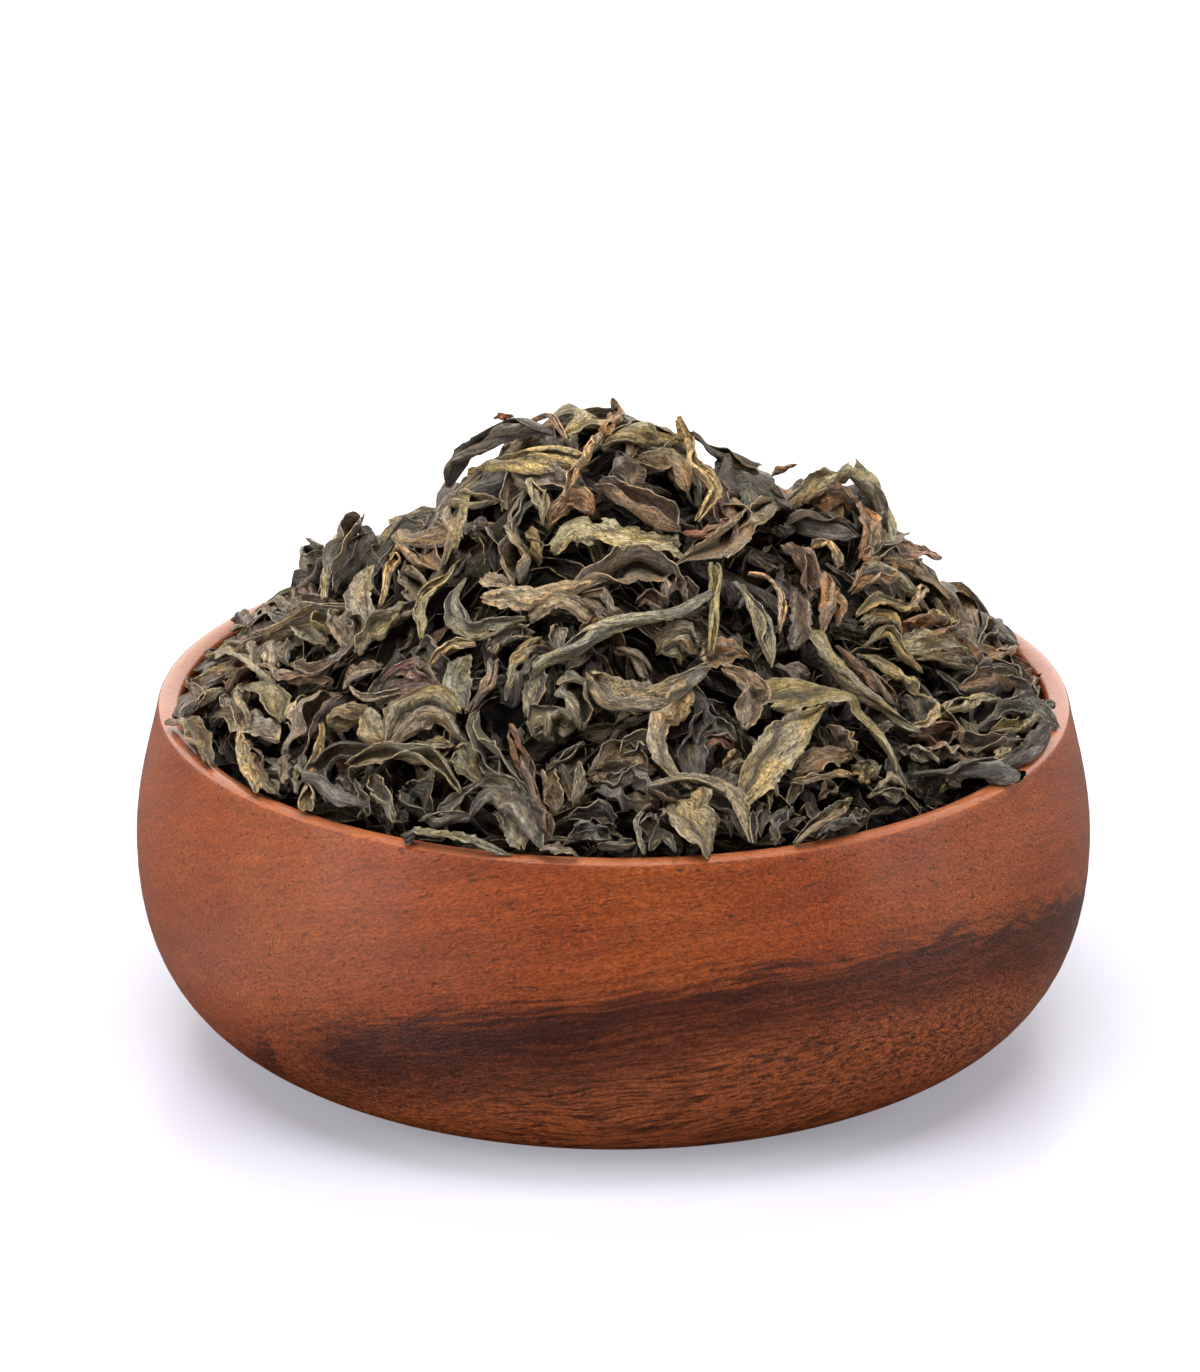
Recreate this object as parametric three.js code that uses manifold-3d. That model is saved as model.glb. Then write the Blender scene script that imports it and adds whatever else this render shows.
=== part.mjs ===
// Loose green tea heaped in a small round wooden bowl. Millimetres, +Z up.
// The origin is the middle of the face that the bowl stands on.

import * as THREE from 'three'
import { mergeVertices } from 'three/addons/utils/BufferGeometryUtils.js'
import Module from 'manifold-3d'

const wasm = await Module()
wasm.setup()

// Bowl
const FOOT_RADIUS = 38
const BELLY_RADIUS = 60
const BELLY_HEIGHT = 25
const RIM_OUTER_RADIUS = 57
const RIM_INNER_RADIUS = 54
const RIM_EDGE_HEIGHT = 42.6
const RIM_CROWN = 0.7
const RIM_FLAT = 1.8
const FLOOR_THICKNESS = 8
const BOWL_SEGMENTS = 56
const CURVE_STEPS = 5

// Heap of leaves, as the tops of the leaves lie
const HEAP_RADIUS = 53.5
const HEAP_FOOT = 43
const HEAP_RISE = 20.6
const HEAP_POWER = 2.1
const HEAP_LUMPS = [
  { name: 'crown', x: -3, y: -3, rise: 17.4, spreadX: 20, spreadY: 20 },
  { name: 'right shoulder', x: 29, y: 2, rise: 10, spreadX: 9, spreadY: 11 },
  { name: 'left shoulder', x: -34, y: 2, rise: 5, spreadX: 4.5, spreadY: 11 },
]
const CORE_DEPTH = 1.4
const CORE_SEGMENTS = 24
const CORE_RINGS = 8
const SMALLEST_DETAIL = 0.05
const CORE_WAVE = 0.5
const GAP = 0.3
const RIM_REACH = 56.5

// The leaves in front were placed as seen from here
const EYE = new THREE.Vector3(0, -693.6, 302.2)
const SIGHT_START = -64
const SIGHT_END = 20
const SIGHT_STEP = 0.5

// Leaves
const LEAF_THICKNESS = 0.9
const LEAF_STEPS = 6
const END_SINK = 2
const ROLL_SIDES = 5
const ROLL_FLATNESS = 0.62
const SPARE_LEAVES = 32
const SPARE_SHORTEST = 15
const SPARE_LONGEST = 25

// The largest leaves that show: form, width, lift above the others, and places
// across and up on the upright plane through the bowl's middle
const LARGE_LEAVES = [
  // crown
  ['roll', 3.2, 0.5, [-21, 70.4], [-18.9, 73.6], [-14, 77.4], [-7.7, 78.6]],
  ['flat', 3.6, 1, [-7.4, 76.6], [-4.5, 78.2], [-1.2, 79.8]],
  ['roll', 1.8, 1, [-1.1, 77.5], [0.3, 79.9], [0, 82]],
  ['fold', 3.6, 0.5, [-16, 72], [-10, 74.3], [-4.5, 75]],
  ['roll', 2.6, 0.5, [-1.6, 76.2], [4.3, 77.4], [9, 77.6]],
  ['roll', 2.2, 1, [9, 78], [11.8, 75.6], [18, 72.7]],
  ['fold', 4.4, 0.5, [12.8, 71.4], [16.4, 70.6], [21.6, 68.6]],
  ['fold', 4, 1, [-12.4, 69.8], [-14, 66.5], [-12.6, 58.2]],
  ['boat', 3.2, 0.5, [-8.6, 65.4], [-5.8, 68.6], [-2.6, 67]],
  ['fold', 3.2, 0.8, [-2.6, 71.4], [3, 68.3], [8.6, 65]],
  ['flat', 4.2, 0, [-8, 62.4], [0, 64.6], [8.3, 64]],
  ['fold', 3.6, 1, [20.4, 69.4], [15, 65], [8, 60.5]],
  // right shoulder
  ['arch', 4.6, 1.5, [21.5, 69.6], [28.2, 72.2], [33.4, 65.4]],
  ['roll', 3, 0, [21, 66.6], [26, 65.6], [31, 64.2]],
  ['flat', 5, 0.5, [31.4, 69.6], [32.8, 66], [31.6, 61]],
  ['flat', 2.4, 1, [32, 62], [36.5, 62.2], [40.3, 61.2]],
  ['boat', 2.4, 0.5, [30, 60], [35, 58.2], [39, 55.4]],
  ['fold', 2.4, 0.5, [44, 50.5], [45.2, 53.2], [46.2, 55.4]],
  ['fold', 3, 0, [35.5, 51.4], [40, 52], [44.8, 51.2]],
  ['boat', 3.2, 0.5, [43.5, 46.4], [48.5, 47], [52.2, 42.6]],
  // left shoulder
  ['flat', 3.2, 0.5, [-29, 63.2], [-25, 65.4], [-21, 68]],
  ['fold', 3.6, 1, [-31.8, 66.2], [-33.2, 62], [-35.6, 56.6]],
  ['fold', 3, 0.5, [-36.4, 62], [-37.8, 59.4], [-39.6, 55.6]],
  ['flat', 3.6, 0.5, [-30.4, 60.6], [-31.6, 56.4], [-30.6, 51.8]],
  ['roll', 2.6, 0.5, [-47.4, 53.4], [-44, 52], [-40.6, 52]],
  ['flat', 4.2, 0.5, [-51, 48.8], [-47, 48.2], [-42.6, 45]],
  ['boat', 3, 1, [-33, 48.6], [-29.6, 51.8], [-24, 55.2]],
  // middle
  ['fold', 3.8, 1.2, [-17, 56], [-6, 58.4], [6.4, 59.8]],
  ['boat', 2.6, 1, [-19.2, 58.8], [-19.2, 52.2], [-11.2, 53.4]],
  ['boat', 3, 2, [-10, 47.5], [0, 50.9], [9, 53.8], [11.8, 57]],
  ['boat', 4.2, 1.5, [-3, 45.4], [3, 43.7], [12.6, 47.6]],
  ['roll', 3.8, 1, [-6.4, 45.8], [-4.8, 43.4], [-4.2, 38.6]],
  ['roll', 2.4, 0.5, [15, 58], [17.4, 52.4], [20, 46.8]],
  ['fold', 2.6, 0.5, [-24, 50.2], [-20, 47], [-18.4, 41.6]],
  ['roll', 2.4, 0.6, [-9.2, 51], [-12.4, 47.2], [-13.6, 42]],
  ['fold', 2.6, 0.5, [12.6, 60], [12.2, 55.2], [12.8, 50.2]],
  ['boat', 3, 0.5, [14.2, 47.6], [17.2, 43.8], [16.6, 38.6]],
  ['fold', 2.4, 0.4, [26.2, 59.8], [26.4, 55.4], [27, 51.6]],
  ['roll', 2.4, 0.8, [25.3, 52], [28.6, 46.4], [33.5, 43], [39, 39]],
  ['boat', 3.2, 0.5, [30.4, 49], [35.4, 46.6], [38.6, 43.6]],
  ['boat', 5, 1.5, [20.6, 46.6], [28, 44], [34, 37.6], [36.6, 30.4]],
  // lower left
  ['fold', 4, 0.5, [-34.2, 43.4], [-38, 39.8], [-41.8, 33.8]],
  ['flat', 4.4, 0, [-50, 43], [-46, 42], [-42, 39.6]],
  ['boat', 3.2, 1, [-56, 40], [-53, 38.2], [-50.8, 34.6]],
  ['arch', 3.8, 0.5, [-36, 39.4], [-31.4, 40.6], [-29, 36.6]],
  ['arch', 3.2, 1, [-29, 36.6], [-24.4, 42], [-19.4, 38.4]],
  ['boat', 2.6, 1.5, [-34, 33.6], [-26, 34], [-20.2, 30]],
  ['boat', 2.4, 1.5, [-34, 34.6], [-37.2, 30.6], [-34, 27], [-30, 26.2]],
  ['fold', 3, 1.2, [-17.4, 41], [-16.8, 36.8], [-11.2, 30.4]],
  // lower front
  ['arch', 2.6, 1.5, [-18.4, 27], [-14.8, 29.8], [-9.2, 23.4]],
  ['fold', 2.4, 0.5, [-11.6, 36.4], [-10, 30], [-8.4, 24]],
  ['flat', 5.4, 0.5, [-4, 32.4], [1, 33], [6, 32]],
  ['boat', 4, 1.5, [9.4, 40], [7.3, 36], [8.6, 31.4]],
  ['arch', 2.6, 2, [7.6, 31], [13.6, 30.6], [17.4, 24.6]],
  ['flat', 6, 2.5, [8.4, 30.2], [10.2, 26.6], [12.8, 21.6]],
  // lower right
  ['flat', 5, 1.5, [25.8, 41.6], [21, 36], [16.6, 30]],
  ['flat', 5, 0.5, [30.2, 35.4], [26.5, 34.6], [22.6, 33.2]],
  ['roll', 3, 1, [38, 33.2], [44.4, 33.2], [51.4, 31.4]],
  ['boat', 2.8, 0.5, [46, 39.4], [51, 41.6], [56, 38.8]],
]

const woodMaterial = new THREE.MeshStandardMaterial({ color: '#9c4a28', roughness: 0.38, metalness: 0 })
const teaMaterial = new THREE.MeshStandardMaterial({ color: '#4a453b', roughness: 0.85, metalness: 0 })

// Geometry of a lathe that turns a profile of radius and height about the Z axis
function turned(profile, segments) {
  const geometry = new THREE.LatheGeometry(profile, segments)
  geometry.rotateX(Math.PI / 2)
  return geometry
}

function curvePoints(steps, ...corners) {
  const points = corners.map(([radius, height]) => new THREE.Vector2(radius, height))
  return new THREE.CubicBezierCurve(...points).getPoints(steps)
}

// The bowl's profile from the middle of its foot, out, up, over the rim and back in.
// A positive growth gives the same profile with its skin moved out by that much.
function bowlProfile(growth = 0) {
  const rimMiddle = (RIM_OUTER_RADIUS + RIM_INNER_RADIUS) / 2
  const rimTop = RIM_EDGE_HEIGHT + RIM_CROWN + growth
  const belly = BELLY_RADIUS + growth
  const outerEdge = [RIM_OUTER_RADIUS + growth, RIM_EDGE_HEIGHT + growth]
  const innerEdge = [RIM_INNER_RADIUS - growth, RIM_EDGE_HEIGHT + growth]
  const floor = FLOOR_THICKNESS + growth
  const lowerWall = curvePoints(
    CURVE_STEPS,
    [FOOT_RADIUS, -growth],
    [FOOT_RADIUS + 5, 1.4 - growth],
    [belly, 1.2 - growth],
    [belly, BELLY_HEIGHT],
  )
  const upperWall = curvePoints(
    CURVE_STEPS,
    [belly, BELLY_HEIGHT],
    [belly, BELLY_HEIGHT + 7],
    [RIM_OUTER_RADIUS + growth + 1.2, RIM_EDGE_HEIGHT - 5.7],
    outerEdge,
  )
  const insideWall = curvePoints(
    CURVE_STEPS + 2,
    innerEdge,
    [RIM_INNER_RADIUS - growth + 1.6, RIM_EDGE_HEIGHT - 6.6],
    [RIM_INNER_RADIUS - growth + 1, floor],
    [RIM_INNER_RADIUS - growth - 24, floor],
  )
  return [
    new THREE.Vector2(0, -growth),
    ...lowerWall,
    ...upperWall.slice(1),
    new THREE.Vector2(rimMiddle + RIM_FLAT / 2, rimTop),
    new THREE.Vector2(rimMiddle - RIM_FLAT / 2, rimTop),
    ...insideWall,
    new THREE.Vector2(0, floor),
  ]
}

// Height of the leaves' tops over a place; over the rim they lie on the rim
function heapTop(x, y) {
  const radius = Math.hypot(x, y)
  let height = HEAP_FOOT + HEAP_RISE * (1 - (radius / HEAP_RADIUS) ** HEAP_POWER)
  for (const lump of HEAP_LUMPS) {
    const away = ((x - lump.x) / lump.spreadX) ** 2 + ((y - lump.y) / lump.spreadY) ** 2
    height += lump.rise * Math.exp(-away)
  }
  const overRim = radius > RIM_INNER_RADIUS - 2 ? RIM_EDGE_HEIGHT + RIM_CROWN + 1 : 0
  return Math.max(height, overRim)
}

function heapNormal(x, y) {
  const step = 1
  const slopeX = (heapTop(x + step, y) - heapTop(x - step, y)) / (2 * step)
  const slopeY = (heapTop(x, y + step) - heapTop(x, y - step)) / (2 * step)
  return new THREE.Vector3(-slopeX, -slopeY, 1).normalize()
}

// Where the line of sight through a place on the upright plane meets the heap,
// or passes closest over it
function sighted([across, up], lift) {
  const through = new THREE.Vector3(across, 0, up).sub(EYE)
  let nearest = null
  let smallest = Infinity
  for (let y = SIGHT_START; y <= SIGHT_END; y += SIGHT_STEP) {
    const point = EYE.clone().addScaledVector(through, (y - EYE.y) / -EYE.y)
    if (Math.hypot(point.x, point.y) > RIM_REACH) continue
    const clearance = point.z - heapTop(point.x, point.y) - lift
    if (clearance <= 0) return point
    if (clearance < smallest) {
      smallest = clearance
      nearest = point
    }
  }
  return nearest
}

// The next of a fixed row of draws from 0 to 1
let drawState = 20417
function draw(low = 0, high = 1) {
  drawState = (drawState * 16807) % 2147483647
  return low + (high - low) * (drawState / 2147483647)
}

// Stations along a leaf: its middle, the direction across it and the one off its face.
// Both ends sink into the heap, except where they stand out of it.
function stations(points, turn) {
  const line = new THREE.CatmullRomCurve3(points, false, 'centripetal')
  const list = []
  for (let i = 0; i <= LEAF_STEPS; i++) {
    const along = i / LEAF_STEPS
    const middle = line.getPointAt(along)
    const tangent = line.getTangentAt(along)
    const clearance = middle.z - heapTop(middle.x, middle.y)
    const face = heapNormal(middle.x, middle.y)
    face.addScaledVector(tangent, -face.dot(tangent)).normalize()
    const loose = THREE.MathUtils.smoothstep(clearance, 2, 4)
    const sink = (END_SINK + Math.max(clearance, 0)) * Math.abs(2 * along - 1) ** 3 * (1 - loose)
    middle.addScaledVector(face, -sink)
    face.applyAxisAngle(tangent, turn * (along - 0.5))
    const side = new THREE.Vector3().crossVectors(tangent, face)
    list.push({ along, middle, side, face })
  }
  return list
}

function leafTaper(along) {
  return Math.sin(Math.PI * (0.1 + 0.8 * along)) ** 0.7
}

// How far a leaf's edge stands off its middle line, in half widths
const EDGE_RISE = { flat: 0.12, boat: 0.75, arch: -0.6, fold: 0.95 }

// Thin wavy leaf: an upper and a lower face split alike, and a wall round the edge
function thinLeaf(points, width, form, phase) {
  const columns = 2
  const positions = []
  const triangles = []
  const rise = EDGE_RISE[form]
  for (const { along, middle, side, face } of stations(points, 0.5)) {
    const half = (width / 2) * leafTaper(along)
    for (let column = 0; column <= columns; column++) {
      const across = (column / columns) * 2 - 1
      const wave = 0.12 * width * Math.sin(phase + 7 * along + 2.4 * across) * Math.abs(across)
      const height = rise * half * (Math.abs(across) - 0.5) + wave
      for (const skin of [0.5, -0.5]) {
        const point = middle.clone().addScaledVector(side, across * half)
        point.addScaledVector(face, height + skin * LEAF_THICKNESS)
        positions.push(point.x, point.y, point.z)
      }
    }
  }
  const rowSize = (columns + 1) * 2
  const upper = (row, column) => row * rowSize + column * 2
  const lower = (row, column) => upper(row, column) + 1
  const quad = (a, b, c, d) => triangles.push(a, b, c, a, c, d)
  for (let row = 0; row < LEAF_STEPS; row++) {
    for (let column = 0; column < columns; column++) {
      quad(upper(row, column), upper(row, column + 1), upper(row + 1, column + 1), upper(row + 1, column))
      quad(lower(row, column), lower(row + 1, column), lower(row + 1, column + 1), lower(row, column + 1))
    }
    quad(upper(row, 0), upper(row + 1, 0), lower(row + 1, 0), lower(row, 0))
    quad(upper(row, columns), lower(row, columns), lower(row + 1, columns), upper(row + 1, columns))
  }
  for (let column = 0; column < columns; column++) {
    quad(upper(0, column), lower(0, column), lower(0, column + 1), upper(0, column + 1))
    const end = LEAF_STEPS
    quad(upper(end, column), upper(end, column + 1), lower(end, column + 1), lower(end, column))
  }
  return { positions, triangles }
}

// Rolled leaf: a flattened rod with few sides that twists and narrows to both ends
function rolledLeaf(points, width, phase) {
  const positions = []
  const triangles = []
  for (const { along, middle, side, face } of stations(points, 2)) {
    const half = (width / 2) * leafTaper(along) * (1 + 0.14 * Math.sin(phase + 9 * along))
    for (let corner = 0; corner < ROLL_SIDES; corner++) {
      const angle = (corner / ROLL_SIDES) * 2 * Math.PI
      const point = middle.clone().addScaledVector(side, half * Math.cos(angle))
      point.addScaledVector(face, half * ROLL_FLATNESS * Math.sin(angle))
      positions.push(point.x, point.y, point.z)
    }
  }
  const at = (row, corner) => row * ROLL_SIDES + (corner % ROLL_SIDES)
  for (let row = 0; row < LEAF_STEPS; row++) {
    for (let corner = 0; corner < ROLL_SIDES; corner++) {
      triangles.push(at(row, corner), at(row + 1, corner), at(row + 1, corner + 1))
      triangles.push(at(row, corner), at(row + 1, corner + 1), at(row, corner + 1))
    }
  }
  for (let corner = 1; corner < ROLL_SIDES - 1; corner++) {
    triangles.push(at(0, 0), at(0, corner), at(0, corner + 1))
    triangles.push(at(LEAF_STEPS, 0), at(LEAF_STEPS, corner + 1), at(LEAF_STEPS, corner))
  }
  return { positions, triangles }
}

function solidFrom({ positions, triangles }) {
  const mesh = new wasm.Mesh({
    numProp: 3,
    vertProperties: new Float32Array(positions),
    triVerts: new Uint32Array(triangles),
  })
  const solid = new wasm.Manifold(mesh)
  return solid.volume() < 0 ? turnedInsideOut(positions, triangles) : solid
}

function turnedInsideOut(positions, triangles) {
  const flipped = []
  for (let i = 0; i < triangles.length; i += 3) {
    flipped.push(triangles[i], triangles[i + 2], triangles[i + 1])
  }
  return solidFrom({ positions, triangles: flipped })
}

function solidFromGeometry(geometry) {
  const bare = geometry.clone()
  bare.deleteAttribute('normal')
  bare.deleteAttribute('uv')
  const merged = mergeVertices(bare, 1e-4)
  return solidFrom({ positions: merged.attributes.position.array, triangles: merged.index.array })
}

function geometryFrom(solid) {
  const { vertProperties, triVerts } = solid.getMesh()
  const geometry = new THREE.BufferGeometry()
  geometry.setAttribute('position', new THREE.BufferAttribute(vertProperties, 3))
  geometry.setIndex(new THREE.BufferAttribute(triVerts, 1))
  geometry.computeVertexNormals()
  return geometry
}

function makeBowl() {
  return turned(bowlProfile(), BOWL_SEGMENTS)
}

// The heap without its loose leaves: it fills the bowl and follows the heap's top, lower
function makeCore() {
  const inside = bowlProfile(GAP).slice(-(CURVE_STEPS + 4))
  const profile = inside.reverse().map((point) => new THREE.Vector2(Math.max(point.x - GAP, 0), point.y + GAP))
  const shoulder = profile[profile.length - 1].x
  for (let ring = 1; ring <= CORE_RINGS; ring++) {
    const radius = shoulder * Math.cos((ring / CORE_RINGS) * (Math.PI / 2))
    profile.push(new THREE.Vector2(ring === CORE_RINGS ? 0 : radius, HEAP_FOOT + ring * 0.01))
  }
  const geometry = turned(profile, CORE_SEGMENTS)
  const position = geometry.attributes.position
  for (let i = 0; i < position.count; i++) {
    const x = position.getX(i)
    const y = position.getY(i)
    if (position.getZ(i) <= HEAP_FOOT) continue
    const wave = CORE_WAVE * (Math.sin(x * 0.31 + 1.3) + Math.sin(y * 0.37 - 0.4) + Math.sin((x + y) * 0.23))
    const height = heapTop(x, y) - CORE_DEPTH + wave
    position.setZ(i, Math.max(height, HEAP_FOOT - 1))
  }
  return geometry
}

function leafSolid(form, width, points) {
  const phase = draw(0, 6)
  if (form === 'roll') return solidFrom(rolledLeaf(points, width, phase))
  return solidFrom(thinLeaf(points, width, form, phase))
}

// Leaves round the sides and the back, spread evenly by the golden angle
function spareLeafPoints(index) {
  const goldenAngle = Math.PI * (3 - Math.sqrt(5))
  const radius = (HEAP_RADIUS - 4) * Math.sqrt((index + 0.5) / SPARE_LEAVES)
  const angle = index * goldenAngle
  const length = draw(SPARE_SHORTEST, SPARE_LONGEST)
  const heading = angle + Math.PI / 2 + draw(-1.1, 1.1)
  const bow = draw(-3, 3)
  return [-0.5, 0, 0.5].map((share) => {
    const sideways = share === 0 ? bow : 0
    let x = radius * Math.cos(angle) + share * length * Math.cos(heading) - sideways * Math.sin(heading)
    let y = radius * Math.sin(angle) + share * length * Math.sin(heading) + sideways * Math.cos(heading)
    const reach = Math.hypot(x, y)
    const limit = HEAP_RADIUS + 1
    if (reach > limit) {
      x *= limit / reach
      y *= limit / reach
    }
    return new THREE.Vector3(x, y, heapTop(x, y) + 0.4)
  })
}

function facesAway(points) {
  const middle = points[1]
  const sight = EYE.clone().sub(middle).normalize()
  return heapNormal(middle.x, middle.y).dot(sight) < 0.3
}

function makeLeaves() {
  const leaves = LARGE_LEAVES.map(([form, width, lift, ...places]) => {
    const points = places.map((place) => sighted(place, lift))
    return leafSolid(form, width, points)
  })
  const forms = ['boat', 'roll', 'fold', 'flat', 'arch']
  for (let index = 0; index < SPARE_LEAVES; index++) {
    const points = spareLeafPoints(index)
    const width = draw(2.8, 4.2)
    const form = forms[index % forms.length]
    if (facesAway(points)) leaves.push(leafSolid(form, width, points))
  }
  return leaves
}

// Core and leaves as one body, clear of the bowl
function makeHeap() {
  const core = solidFromGeometry(makeCore())
  const clearance = solidFromGeometry(turned(bowlProfile(GAP), BOWL_SEGMENTS))
  let heap = core
  for (const leaf of makeLeaves()) heap = heap.add(leaf)
  heap = heap.subtract(clearance).simplify(SMALLEST_DETAIL)
  const bodies = heap.decompose().sort((a, b) => b.volume() - a.volume())
  return geometryFrom(bodies[0])
}

function namedMesh(name, geometry, material) {
  const mesh = new THREE.Mesh(geometry, material)
  mesh.name = name
  return mesh
}

const group = new THREE.Group()
group.add(namedMesh('bowl', makeBowl(), woodMaterial))
group.add(namedMesh('tea_heap', makeHeap(), teaMaterial))

export default group
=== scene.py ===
"""Loose green tea heaped in a small round wooden bowl.

Lengths are worked out in millimetres and turned into metres as each mesh is made.
"""

import math
from collections import defaultdict, namedtuple

import bpy
import numpy as np
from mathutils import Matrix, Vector


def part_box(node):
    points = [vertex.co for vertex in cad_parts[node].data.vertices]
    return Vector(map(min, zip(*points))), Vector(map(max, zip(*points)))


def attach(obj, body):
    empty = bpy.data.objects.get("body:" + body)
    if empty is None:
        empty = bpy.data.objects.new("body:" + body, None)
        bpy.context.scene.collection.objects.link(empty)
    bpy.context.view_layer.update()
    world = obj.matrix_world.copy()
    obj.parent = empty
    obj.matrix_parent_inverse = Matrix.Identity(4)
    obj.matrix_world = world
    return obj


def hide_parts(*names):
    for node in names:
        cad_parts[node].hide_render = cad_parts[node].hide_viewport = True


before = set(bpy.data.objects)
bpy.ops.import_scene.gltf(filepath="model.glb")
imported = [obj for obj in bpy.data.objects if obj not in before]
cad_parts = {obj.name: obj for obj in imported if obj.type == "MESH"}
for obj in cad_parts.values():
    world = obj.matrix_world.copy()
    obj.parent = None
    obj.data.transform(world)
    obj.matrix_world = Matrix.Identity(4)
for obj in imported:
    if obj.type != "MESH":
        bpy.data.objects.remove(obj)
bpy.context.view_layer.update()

MM = 0.001
BODY = "root"
BOWL_NODE = "bowl"
HEAP_NODE = "tea_heap"

# Bowl, from the frame where the frame gives it
bowl_low, bowl_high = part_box(BOWL_NODE)
BELLY_RADIUS = (bowl_high[0] - bowl_low[0]) / 2 / MM
BOWL_HEIGHT = bowl_high[2] / MM
RIM_CROWN = 0.7
RIM_EDGE_HEIGHT = BOWL_HEIGHT - RIM_CROWN
RIM_OUTER_RADIUS = BELLY_RADIUS - 3
RIM_INNER_RADIUS = BELLY_RADIUS - 6
FOOT_RADIUS = BELLY_RADIUS - 22
BELLY_HEIGHT = 25
FLOOR_THICKNESS = 8
FLOOR_RADIUS = RIM_INNER_RADIUS - 24
BOWL_SEGMENTS = 240

# Heap of leaves, as the tops of the leaves lie, with lumps for the crown, the right and the left shoulder
HEAP_RADIUS = BELLY_RADIUS - 6.5
HEAP_FOOT = 43
HEAP_RISE = 20.6
HEAP_POWER = 2.1
Lump = namedtuple("Lump", "x y rise spread_x spread_y")
LUMPS = (Lump(-2.4, -3, 15.8, 19, 20), Lump(29, 2, 10, 9, 11), Lump(-33.2, 2, 5, 4, 11))

# Packed core under the leaves: radius and height up the bowl's inside, then its domed top
CORE_WALL = [(0, 9), (26, 9), (42.5, 13), (50, 20.5), (52.6, 30), (53.2, 36)]
CORE_RADIUS = 53
CORE_EDGE = 36.5
CORE_DEPTH = 8
CORE_RINGS = 64
CORE_SEGMENTS = 180

# The camera stands where the photograph's did
EYE = np.array([0, -693.6, 302.2])
AIM = (-1.76, 8.5, 40.9)
LENS = 155.2
ROLL = 0.0032
LIGHT_AIM = (0, 0, 0.04)

# Where a line of sight is followed from front to back, how far out the leaves that it finds may lie,
# and how far out any leaf may reach
SIGHT_Y = np.arange(-64, 20.1, 0.5)
SIGHT_REACH = 56.5
LEAF_REACH = BELLY_RADIUS - 1.6

# One leaf. Faces that bend by more degrees than the fold angle show a crisp fold
LEAF_THICKNESS = 0.22
LINE_STEPS = 64
RIM_GAP = 0.15
FOLD_ANGLE = 32

# How uneven a leaf is: kinks of its middle line as a share of its length, small dents and nicks in
# millimetres, and the rest as shares of its width
LINE_KINKS = 0.04
TAPER_KINKS = 0.24
DENTS = 0.17
SMALL_DENTS = 0.09
SIDE_WAVES = 0.05
RAGGED_SIDES = 0.12
NICKS = 0.13
BITE = 0.35

# How a leaf ends: the share of its length cut from the pointed shape, how often, and how torn it is
END_CUTS = [0.015, 0.05, 0.2]
END_CHANCES = [0.5, 0.3, 0.2]
TORN_ENDS = 0.22
PIECE_CUT = 0.3
PIECE_TORN_ENDS = 0.1

# Leaves placed by rule, and the numbers that start the draws. Where the heap faces the camera more
# squarely than these limits, from -1 to 1, the shown leaves lie instead
SEED = 51
SOLID_HEAP_SEED = 20417
SOLID_HEAP_SHOWN = 59
SPARE_LEAVES = 32
SPARE_FACING = 0.3
TOP_LEAVES = 420
TOP_FACING = 0.36
FAR_FACING = 0.05
UNDER_LEAVES = 560
CRUMBS = 340
GOLDEN_ANGLE = math.pi * (3 - math.sqrt(5))

# Dried leaf colours as they look in the photograph, red, green and blue from 0 to 255
TONES = {
    "slate": (99, 90, 74),
    "grey": (124, 112, 90),
    "olive": (114, 100, 60),
    "khaki": (142, 127, 89),
    "mauve": (100, 83, 67),
    "brown": (106, 77, 45),
    "dark": (56, 46, 34),
    "rust": (108, 62, 41),
    "tan": (147, 130, 98),
    "gold": (170, 145, 100),
    "pale": (146, 137, 113),
}
TOP_TONES = ["slate"] * 5 + ["grey"] * 4 + ["olive"] * 4 + ["mauve"] * 3 + ["khaki"] * 3
TOP_TONES += ["brown"] * 3 + ["dark"] * 2 + ["tan", "gold", "rust"]
UNDER_TONES = ["dark"] * 4 + ["brown"] * 3 + ["slate"] * 4 + ["mauve"] * 2 + ["olive"] * 2 + ["khaki"]

# Painted light and shade in the leaves' tints: how bright the shown leaves are from the front rim up to the
# crown, more on the right, and the most that light tones take. Leaves under them get painted shade, darker
# with each millimetre of depth, and the crumbs get painted shade too
LIT_HEIGHTS = (22, 70)
LIT_SHADES = (0.5, 2.33)
RIGHT_SIDE = 26
RIGHT_SHADE = 0.3
LIGHT_TONES = ("khaki", "tan", "gold", "pale")
LIGHT_TONE_SHADE = 1.45
UNDER_SHADE = 0.3
UNDER_DARKENING = 0.036
CRUMB_SHADE = 0.36

# How each form bends across its width: curl and fold in degrees over the whole width, pleats and
# how far they lean, twist in degrees over the length, and the flatness of its section
Form = namedtuple("Form", "curl fold pleats lean twist flat")
FORMS = {
    "roll": Form(400, 0, 2.4, 30, 150, 0.8),
    "fold": Form(70, 130, 1.5, 19, 45, 1.0),
    "boat": Form(185, 0, 1.4, 20, 28, 0.9),
    "arch": Form(-160, 0, 1.3, 18, 24, 0.9),
    "flat": Form(34, 22, 1.2, 16, 14, 1.0),
    "crumple": Form(150, 50, 2.8, 62, 60, 1.0),
    "stem": Form(330, 0, 1.2, 12, 50, 0.9),
    "twist": Form(520, 0, 3.0, 22, 190, 0.9),
    "shell": Form(-100, 0, 0.8, 12, 26, 1.0),
    "hollow": Form(245, 0, 1.0, 10, 12, 0.9),
    "blade": Form(26, 34, 1.0, 8, 8, 1.0),
    "piece": Form(-40, 26, 1.2, 14, 10, 1.0),
}

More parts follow.
